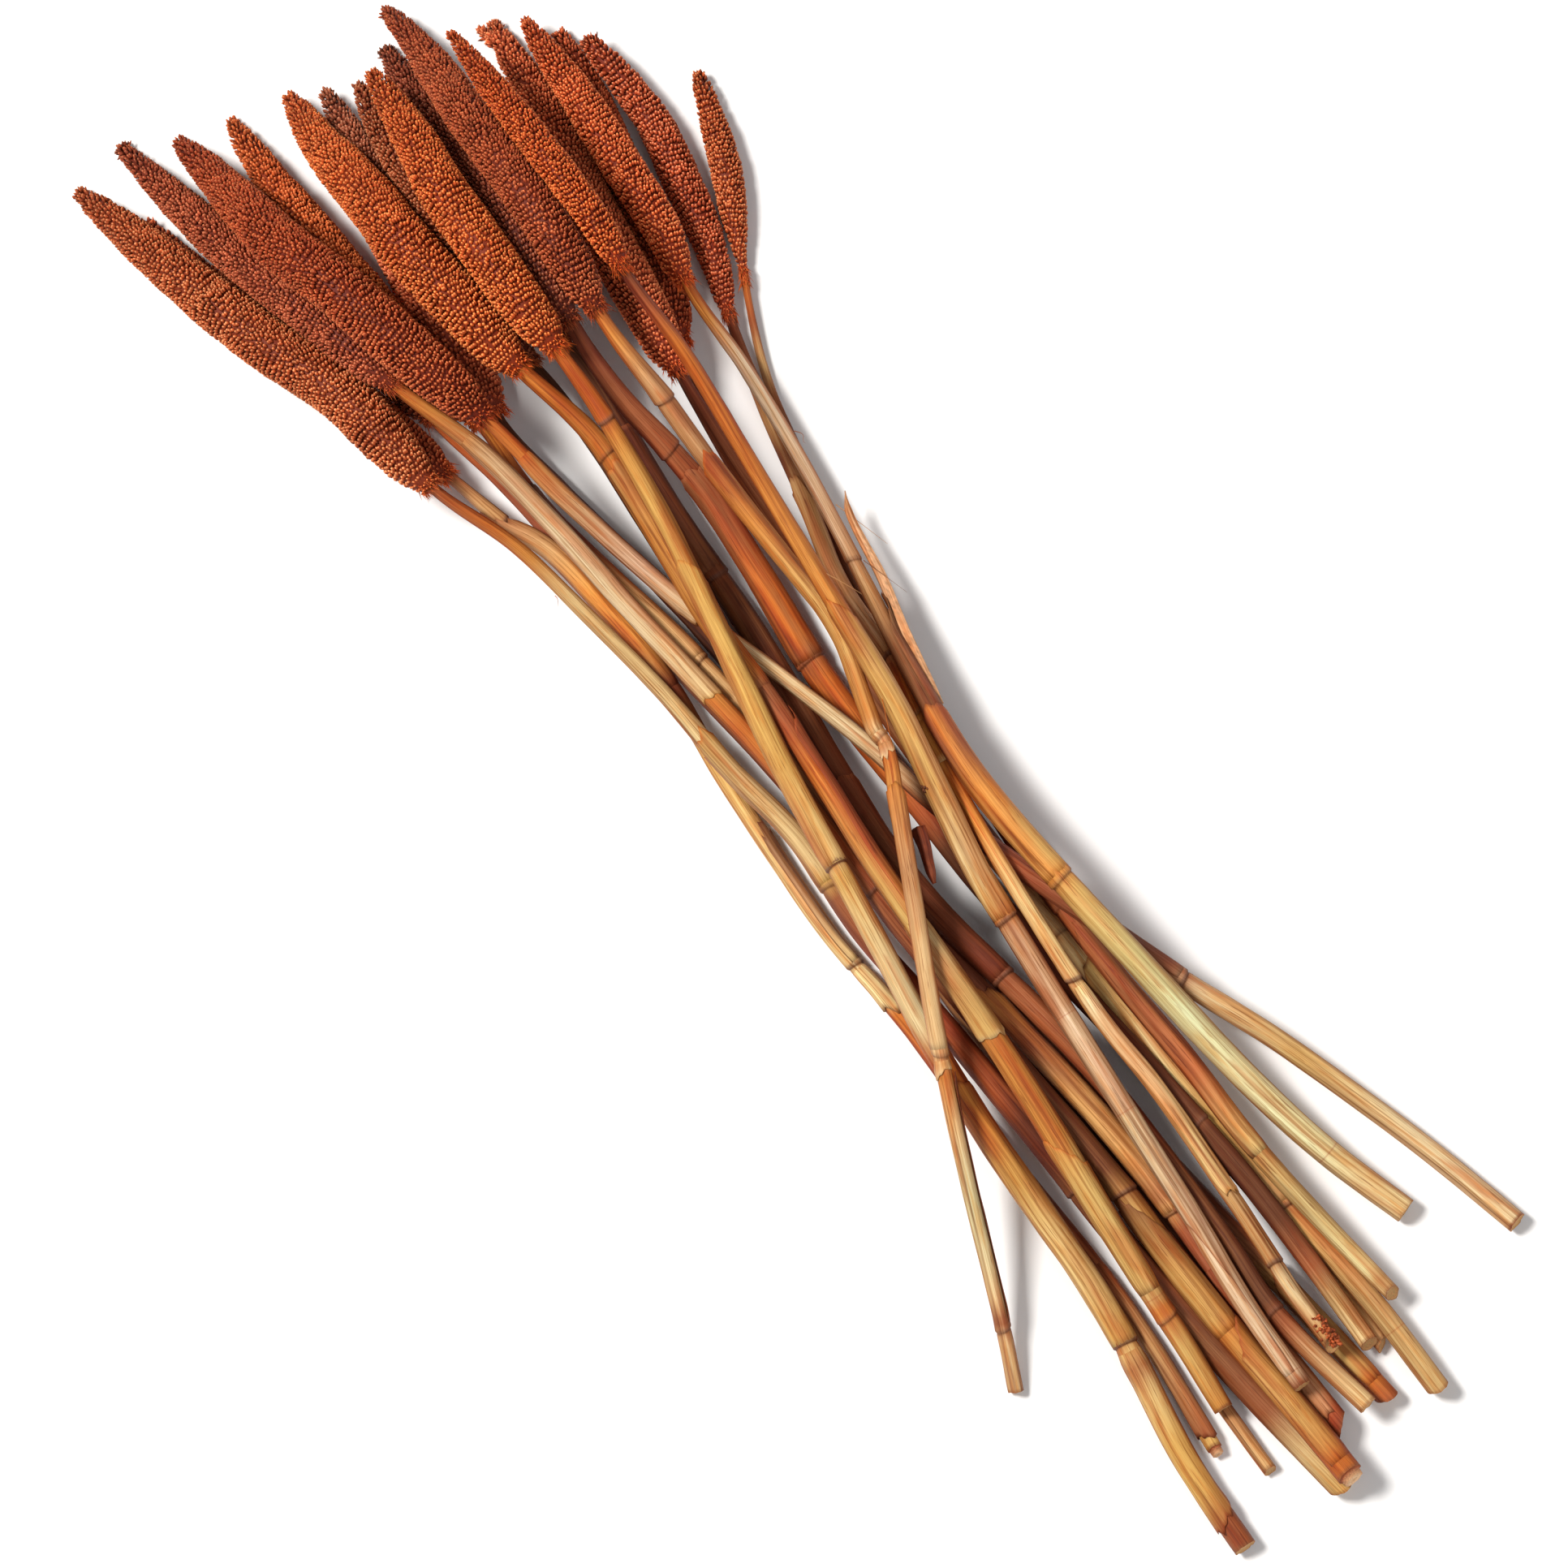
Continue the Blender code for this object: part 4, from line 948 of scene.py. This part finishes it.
# cut: its slant and the way it slants, degrees; flat: how far out of round and at what angle, degrees;
# end_dark: how dark the rim of the cut is; fine_rings: the X of rings that have no joint
# stops and sheath colours: the dye, darkened as painted shade in a few stretches that lie under other stalks
STEMS = {
    1: dict(slot="stem_umber", cut=(35, 20),
        stops=dye_and_shade_stops("umber 226, oxblood 280, rust 301")),
    2: dict(slot="stem_gold", tone=(1.2, 1.45, 1.5), cut=(30, 200),
        stops=dye_and_shade_stops("umber 82, oxblood 244, copper 275, honey 292, gold 323, orange 338, rust 346"),
        sheaths=[sheath(341, 279, 200, 40, "copper honey honey", ragged=0.8)]),
    3: dict(slot="stem_tan", tone=(1.08, 0.96, 1.08), cut=(40, 90),
        stops=dye_and_shade_stops("orange -183, copper -154 -109, brown -40, copper 104, brown 153, tan 178, gold 237, "
                   "copper 250 272, tan 330, rust 342, oxblood 350"),
        sheaths=[sheath(241, 124, 310, -20, "copper copper gold gold copper", ragged=1.5, streak="amber"),
                 sheath(268, 345, 150, -60, "tan copper", ragged=1.6, point=6)]),
    4: dict(slot="stem_copper", tone=(1.35, 1.6, 1.7), cut=(20, 0),
        stops=dye_and_shade_stops("orange -167, rust -147, copper -103, tan -42, brown 32 147, copper 301, tan 343"),
        sheaths=[sheath(-49, -146, 270, 10, "brown copper tan tan", ragged=2.6, lift=1.4, point=20,
                        edge="umber")]),
    5: dict(slot="stem_umber", tone=(1.3, 1.3, 1.3), cut=(30, 60),
        stops=dye_and_shade_stops("umber -141, oxblood -55, umber 133, oxblood 267, honey 308, tan 331")),
    6: dict(slot="stem_tan", tone=(1.25, 1.3, 1.3), cut=(25, 180), fine_rings=[330],
        stops=dye_and_shade_stops("oxblood -137, copper -77, brown 11, tan 106, straw 139, gold 188, drab 246, tan 261, "
                   "honey 272, drab 314"),
        sheaths=[sheath(264, 141, 320, 30, "gold straw gold tan", ragged=1.2)]),
    7: dict(slot="stem_tan", tone=(1.12, 1.2, 1.2), cut=(15, 0), end="pale", end_dark=0.8,
        stops=dye_and_shade_stops("copper -170, tan -151 -112, copper -67, oxblood -56 -42, gold -17, straw 50 97, "
                   "orange 112, rust 136, copper 181 239, tan 293, gold 324"),
        sheaths=[sheath(-47, -148, 280, -15, "copper tan amber amber brown", ragged=2.4, lift=1.2,
                        point=14, edge="brown"),
                 sheath(85, 14, 150, 70, "brown rose straw", ragged=2.4, lift=1, point=20, edge="oxblood"),
                 sheath(88, 111, 300, -10, "straw straw", ragged=1.8, lift=0.7, point=6, edge="brown"),
                 sheath(239, 320, 280, 0, "copper tan rust", ragged=1, point=3, edge="oxblood")]),
    8: dict(slot="stem_straw", tone=(0.92, 0.95, 0.95), cut=(30, 180),
        fibres=[(-104, -70, 5.0, 4.0, "rust")],
        stops=dye_and_shade_stops("rust -167, orange -141, amber -121, straw -98 -17, gold 56, copper 64, rust 140 165, "
                   "oxblood 178 192, brown 210, copper 251, brown 288, copper 326, straw 348, gold 365"),
        sheaths=[sheath(56, -25, 290, -25, "gold straw straw straw", ragged=1.4, point=9, edge="orange")]),
    9: dict(slot="stem_umber", tone=(1.1, 1.1, 1.1), cut=(10, 0),
        stops=dye_and_shade_stops("umber -165, brown -77 -38, oxblood 41 124, copper 136 212, brown 232, umber 292, "
                   "copper 303, straw 347"),
        sheaths=[sheath(-76, -146, 300, 30, "oxblood brown", ragged=1.2),
                 sheath(127, 25, 300, 30, "oxblood brown oxblood", ragged=1.2)]),
    10: dict(slot="stem_copper", tone=(1.15, 1.15, 1.15), cut=(35, 0), flat=(0.12, 80),
        stops=dye_and_shade_stops("oxblood -167, copper -144 -119, rust -88, copper -28, orange -12 25, rust 54, umber "
                   "72 90, oxblood 140, umber 218 268, copper 291, drab 307, straw 328"),
        sheaths=[sheath(-23, -113, 310, -20, "copper rust orange orange", ragged=1.4, lift=0.8,
                        streak="brown")]),
    11: dict(slot="stem_straw", tone=(0.9, 0.85, 0.82), cut=(12, 0), end="pale", end_dark=0.7,
        stops=dye_and_shade_stops("orange -206, amber -189, tan -164, amber -31, orange -13, amber 14, copper 72, brown "
                   "154 212, gold 236 276, amber 292, gold 317, orange 350"),
        sheaths=[sheath(-173, -30, 340, -10, "straw cream cream tan", ragged=0.9, lift=0.2, point=2.5,
                        edge="gold"),
                 sheath(292, 225, 200, -30, "brown gold gold", ragged=1, point=18, edge="brown"),
                 sheath(358, 288, 200, 60, "amber gold gold amber", ragged=1.2, point=14, edge="rust")]),
    12: dict(slot="stem_copper", tone=(1.15, 1.35, 1.4), cut=(35, 0), end_dark=0.5,
        stops=dye_and_shade_stops("orange -164, copper -147, tan -131, copper -118, oxblood -93, umber 12, oxblood 72, "
                   "copper 98, rust 141 191, honey 227, drab 269, straw 304, tan 312"),
        sheaths=[sheath(244, 122, 240, 50, "rust copper rust honey", ragged=1.6, streak="brown")]),
    13: dict(slot="stem_tan", tone=(1.0, 1.06, 1.25), cut=(8, 0), end_dark=1,
        stops=dye_and_shade_stops("orange -153, tan -132, amber -61, straw -35 12, tan 42, copper 67, rust 93, copper "
                   "120 165, straw 181, gold 222, straw 273"),
        sheaths=[sheath(-153, -59, 330, 0, "straw rose tan amber", ragged=1.6, lift=0.3, point=5,
                        edge="tan"),
                 sheath(169, 107, 150, 70, "rust brown oxblood", ragged=1.8, point=20, edge="brown")]),
    14: dict(slot="stem_gold", tone=(1.0, 1.1, 1.2), cut=(12, 0), end_dark=0.9, fine_rings=[264],
        stops=dye_and_shade_stops("orange -161, amber -143 -119, orange -73, copper -16, rust 0, orange 24, gold 86, "
                   "amber 149 191, gold 206 250, honey 264, orange 269, gold 287, amber 314"),
        sheaths=[sheath(-20, -132, 280, -10, "honey amber amber orange", ragged=1.4, point=12,
                        edge="orange"),
                 sheath(90, -8, 120, 75, "copper rust rust amber", ragged=1, lift=0.8, edge="rust"),
                 # the honey in this sheath is partly its own colour, partly painted shade from a crossing
                 # stem
                 sheath(92, 147, 340, 0, "gold honey straw", ragged=1.2, lift=0.3, point=3, edge="straw"),
                 sheath(261, 191, 230, -40, "amber gold gold gold", ragged=1.4, edge="orange")]),
    15: dict(slot="stem_gold", tone=(1.1, 1.12, 1.05), cut=(40, 0), end="crumbly",
        stops=dye_and_shade_stops("oxblood -155, copper -134, tan -110, brown -96, tan -60 -6, copper 6, amber 24 48, "
                   "orange 54, amber 77, straw 114 223, tan 261 280, cream 289, tan 314"),
        sheaths=[sheath(-4, -87, 230, 0, "tan tan rose rose", ragged=1.2, lift=0.8, point=18),
                 sheath(1, 25, 260, 0, "orange orange", ragged=0.8, lift=0.3, point=2, edge="tan"),
                 sheath(28, 48, 280, 0, "amber amber", ragged=0.6, lift=0.3, point=2, edge="straw"),
                 sheath(150, 252, 190, 50, "straw straw cream cream", ragged=2, lift=0.8, point=8,
                        edge="amber")]),
    16: dict(slot="stem_gold", tone=(1.04, 1.1, 1.15), cut=(10, 0), end_dark=0.25, fine_rings=[259],
        fibres=[(-100, 60, 9.0, 5.0, "copper"), (-66, 80, 30.0, 0.4, "tan"), (-40, 60, 26.0, 0.5, "brown")],
        # the brown at X -1 and 29 and the sheath from 30 to -26 are partly own colour, partly painted shade
        stops=dye_and_shade_stops("orange -174, amber -157, blush -137 -114, rose -54, tan -28, brown -1 29, gold 103, "
                   "amber 111, gold 120, olive 154, sage 184, pale 212 252, straw 274"),
        sheaths=[sheath(30, -26, 130, 78, "drab brown copper copper", ragged=1.0, lift=1.8, point=16,
                        gape=2.0, edge="brown"),
                 sheath(111, 26, 345, 20, "rust copper amber gold gold", ragged=1, point=10,
                        streak="amber")]),
    17: dict(slot="stem_straw", tone=(0.95, 0.92, 0.78), cut=(8, 0), end_dark=0.9,
        stops=dye_and_shade_stops("orange -144, amber -137, gold -110 -76, straw -41 55, gold 62, straw 74, cream 98 "
                   "124, orange 142 160, amber 190, gold 213 265, straw 276, copper 341"),
        sheaths=[sheath(56, -80, 320, 20, "gold gold gold straw", ragged=0.9, point=16, edge="amber"),
                 sheath(270, 146, 320, -10, "amber amber gold straw straw gold", ragged=1.6, point=14,
                        edge="rust"),
                 sheath(274, 354, 250, -45, "copper gold gold straw rust", ragged=1.8, lift=0.8, point=9,
                        edge="rust")]),
    18: dict(slot="stem_straw", tone=(0.95, 0.92, 0.96), cut=(8, 0), end="striped",
        stops=dye_and_shade_stops("orange -177, amber -165, tan -144 -101, gold -52, amber -13, straw 24, orange 33, "
                   "amber 42, tan 69, straw 138, amber 147, straw 169, sage 192, straw 226, copper 234, "
                   "straw 241"),
        sheaths=[sheath(24, -109, 300, 20, "rust amber gold gold amber", ragged=1.2, edge="orange",
                        streak="amber"),
                 sheath(29, 34, 320, 0, "cream cream", ragged=1.3, lift=0.4, point=2, edge="straw"),
                 sheath(138, 44, 320, 0, "amber tan straw straw", ragged=1.2, edge="amber"),
                 sheath(142, 147, 330, 0, "cream sage", ragged=1.6, lift=0.7, point=3, edge="straw"),
                 sheath(235, 146, 60, 85, "brown oxblood brown", ragged=0.8, lift=0.9, gape=1.6,
                        edge="oxblood")]),
    19: dict(slot="stem_tan", tone=(0.95, 0.95, 0.95), cut=(10, 0), end_dark=1, fine_rings=[156, 200, 320],
        knots=[(53, -75, 2.2)], fibres=[(13, -60, 30.0, 0.5, "orange"), (-40, 50, 18.0, 1.0, "tan")],
        stops=dye_and_shade_stops("oxblood -182, rust -163, orange -147 -119, amber -45 -22, tan 104, amber 110, rose "
                   "117 154, blush 156 199, cream 202, blush 249 320, copper 326"),
        sheaths=[sheath(111, -32, 320, 20, "amber gold gold gold straw gold", ragged=1.2, point=24,
                        edge="orange", streak="tan"),
                 sheath(320, 249, 150, -60, "blush blush blush", ragged=0.6, lift=0.3, point=30,
                        edge="copper")]),
}


# ---------------------------------------------------------------- leaves
LEAF_STEP, LEAF_COLUMNS = 1.5, 9
LEAF_THICK = 0.35
RUN_ON = ((8.0, 0.4, 1.7), (17.0, 0.1, 1.5), (26.0, -0.4, 1.1))     # steps along a stem, lifts and radii


def run_onto(centres, radii, number):
    """Bend the foot of a strip onto the stem it was torn from and carry it a little way along that stem."""
    stem_centres, stem_radii = rings(f"stem_{number:02d}", STEM_SIDES)
    line = Line(stem_centres)
    start = line.at_x(centres[-1, 0])
    out = unit(centres[-1] - line.centre(start))
    reach = np.interp(start, line.knots, stem_radii)
    share = ease(np.arange(len(centres)), 0.3 * len(centres), len(centres) - 1.0)[:, None]
    bent = centres + share * (line.centre(start) + out * (reach + 0.7) - centres[-1])
    more = [line.centre(start + step) + out * (reach + lift) for step, lift, _ in RUN_ON]
    return np.vstack([bent, more]), np.concatenate([radii, [radius for _, _, radius in RUN_ON]])


def leaf(node, colour, tip_first, draws, torn_from=0):
    """A dry strip of leaf, folded along its middle, in place of a plain strip of the frame.

    draws is the seed of its random draws, and torn_from the number of the stem that its foot lies on.
    """
    centres, radii = rings(node, LEAF_SIDES)
    if torn_from:
        centres, radii = run_onto(centres, radii, torn_from)
    line = Line(centres)
    rng = np.random.default_rng(draws)
    count = max(14, int(line.length / LEAF_STEP))
    s = np.linspace(0.0, line.length, count)
    across = np.linspace(-1.0, 1.0, LEAF_COLUMNS)
    fade = ease(s, 0.0, 9.0) if tip_first else ease(s, line.length + 3.0, line.length - 6.0)
    width = (np.interp(s, line.knots, radii) * 1.7 * (0.15 + 0.85 * fade))[:, None]
    centre, _, side, up = line.frame(s)
    roll = 0.5 * np.sin(s / line.length * 2.2)[:, None]
    flat = turned(side[:, None], up[:, None], roll)
    rise = turned(up[:, None], -side[:, None], roll)
    fold = (1.0 - np.abs(across)) * 1.1 + 0.12 * np.sin(across * 9.0)
    top = centre[:, None] + flat * (width * across)[..., None] + rise * (width * fold * 0.6)[..., None]
    faces, i, j = grid_faces(count, LEAF_COLUMNS, False)
    grain = grid_grain(i, j, across * 3.0 + 20.0, s + 40.0)
    tint = np.array(COLOURS[colour]) * (1.0 + 0.15 * rng.standard_normal((count * LEAF_COLUMNS, 1)))
    shape = Shape()
    first = shape.add(top, faces, tint, 1.0, grain)
    # the underside: the top's colours darkened as painted shade
    shape.add(top - rise * LEAF_THICK, faces[:, ::-1], tint * 0.7, 1.0, grain[:, ::-1])
    shape.join(rim_walls(count, LEAF_COLUMNS), first)
    shape.to_piece(node + "_blade", [straw_material], node)


# ---------------------------------------------------------------- the bunch
for number in range(1, STALK_COUNT + 1):
    head_centres, head_radii = rings(f"seed_head_{number:02d}", HEAD_SIDES)
    stem_centres, stem_radii = rings(f"stem_{number:02d}", STEM_SIDES)
    centre_line = Line(np.vstack([head_centres[:-1], stem_centres]))
    first = len(head_centres) - 1
    neck_at = centre_line.knots[first]
    seed_head(number, centre_line, neck_at, head_radii, HEADS[number])
    stem(number, centre_line, neck_at, centre_line.knots[first:], stem_radii, STEMS[number])
leaf("curled_leaf", "rose", True, draws=17, torn_from=16)
leaf("dead_leaf", "oxblood", False, draws=15)


# ---------------------------------------------------------------- floor, light and camera
VIEW_TILT = math.radians(9.0)           # off straight down, towards the cut ends
VIEW_ROLL = math.radians(52.85)
VIEW_TARGET = Vector((0.00975, -0.03089, 0.00072))
VIEW_DISTANCE = 2.7
VIEW_WIDTH = 0.628
FLOOR_REACH, FLOOR_DROP = 6.0, 0.0005


def view_axes():
    """The camera's right and up and the way back to it."""
    lengthways = Vector((math.cos(VIEW_TILT), 0.0, -math.sin(VIEW_TILT)))
    sideways = Vector((0.0, 1.0, 0.0))
    back = Vector((math.sin(VIEW_TILT), 0.0, math.cos(VIEW_TILT)))
    right = math.cos(VIEW_ROLL) * lengthways + math.sin(VIEW_ROLL) * sideways
    up = -math.sin(VIEW_ROLL) * lengthways + math.cos(VIEW_ROLL) * sideways
    return right, up, back


def place(thing, location, toward, upward):
    """Put a light or the camera at location and aim it."""
    back = (location - toward).normalized()
    right = upward.cross(back).normalized()
    matrix = Matrix((right, back.cross(right), back)).transposed().to_4x4()
    matrix.translation = location
    thing.matrix_world = matrix
    bpy.context.scene.collection.objects.link(thing)


def make_floor():
    mesh = bpy.data.meshes.new("floor")
    corners = [(x * FLOOR_REACH, y * FLOOR_REACH, 0) for x, y in ((-1, -1), (1, -1), (1, 1), (-1, 1))]
    mesh.from_pydata(corners, [], [(0, 1, 2, 3)])
    paper = Paint("floor_paper", 0.9)
    paper.shader.inputs["Base Color"].default_value = (0.9, 0.9, 0.9, 1.0)
    mesh.materials.append(paper.material)
    floor = bpy.data.objects.new("floor", mesh)
    floor.location.z = -FLOOR_DROP
    bpy.context.scene.collection.objects.link(floor)


def make_light(name, energy, size, offset, colour):
    """An area light, offset from the target along the view's right, up and back."""
    right, up, back = view_axes()
    light = bpy.data.lights.new(name, "AREA")
    light.energy = energy
    light.size = size
    light.color = colour
    location = VIEW_TARGET + right * offset[0] + up * offset[1] + back * offset[2]
    place(bpy.data.objects.new(name, light), location, VIEW_TARGET, up)


def make_camera():
    _, up, back = view_axes()
    camera = bpy.data.cameras.new("camera")
    camera.sensor_width = 36.0
    camera.lens = camera.sensor_width * VIEW_DISTANCE / VIEW_WIDTH
    camera.clip_end = 50.0
    thing = bpy.data.objects.new("camera", camera)
    place(thing, VIEW_TARGET + back * VIEW_DISTANCE, VIEW_TARGET, up)
    bpy.context.scene.camera = thing


make_floor()
make_light("key", 203.0, 1.0, (-2.2, 1.1, 3.4), (1.0, 0.97, 0.93))
make_light("fill", 10.0, 1.6, (1.2, -0.5, 1.8), (0.95, 0.97, 1.0))
world = bpy.data.worlds.new("studio")
world.use_nodes = True
world.node_tree.nodes["Background"].inputs["Color"].default_value = (1.0, 1.0, 1.0, 1.0)
world.node_tree.nodes["Background"].inputs["Strength"].default_value = 0.30
bpy.context.scene.world = world
bpy.context.scene.view_settings.view_transform = "Standard"
make_camera()

bpy.context.view_layer.update()
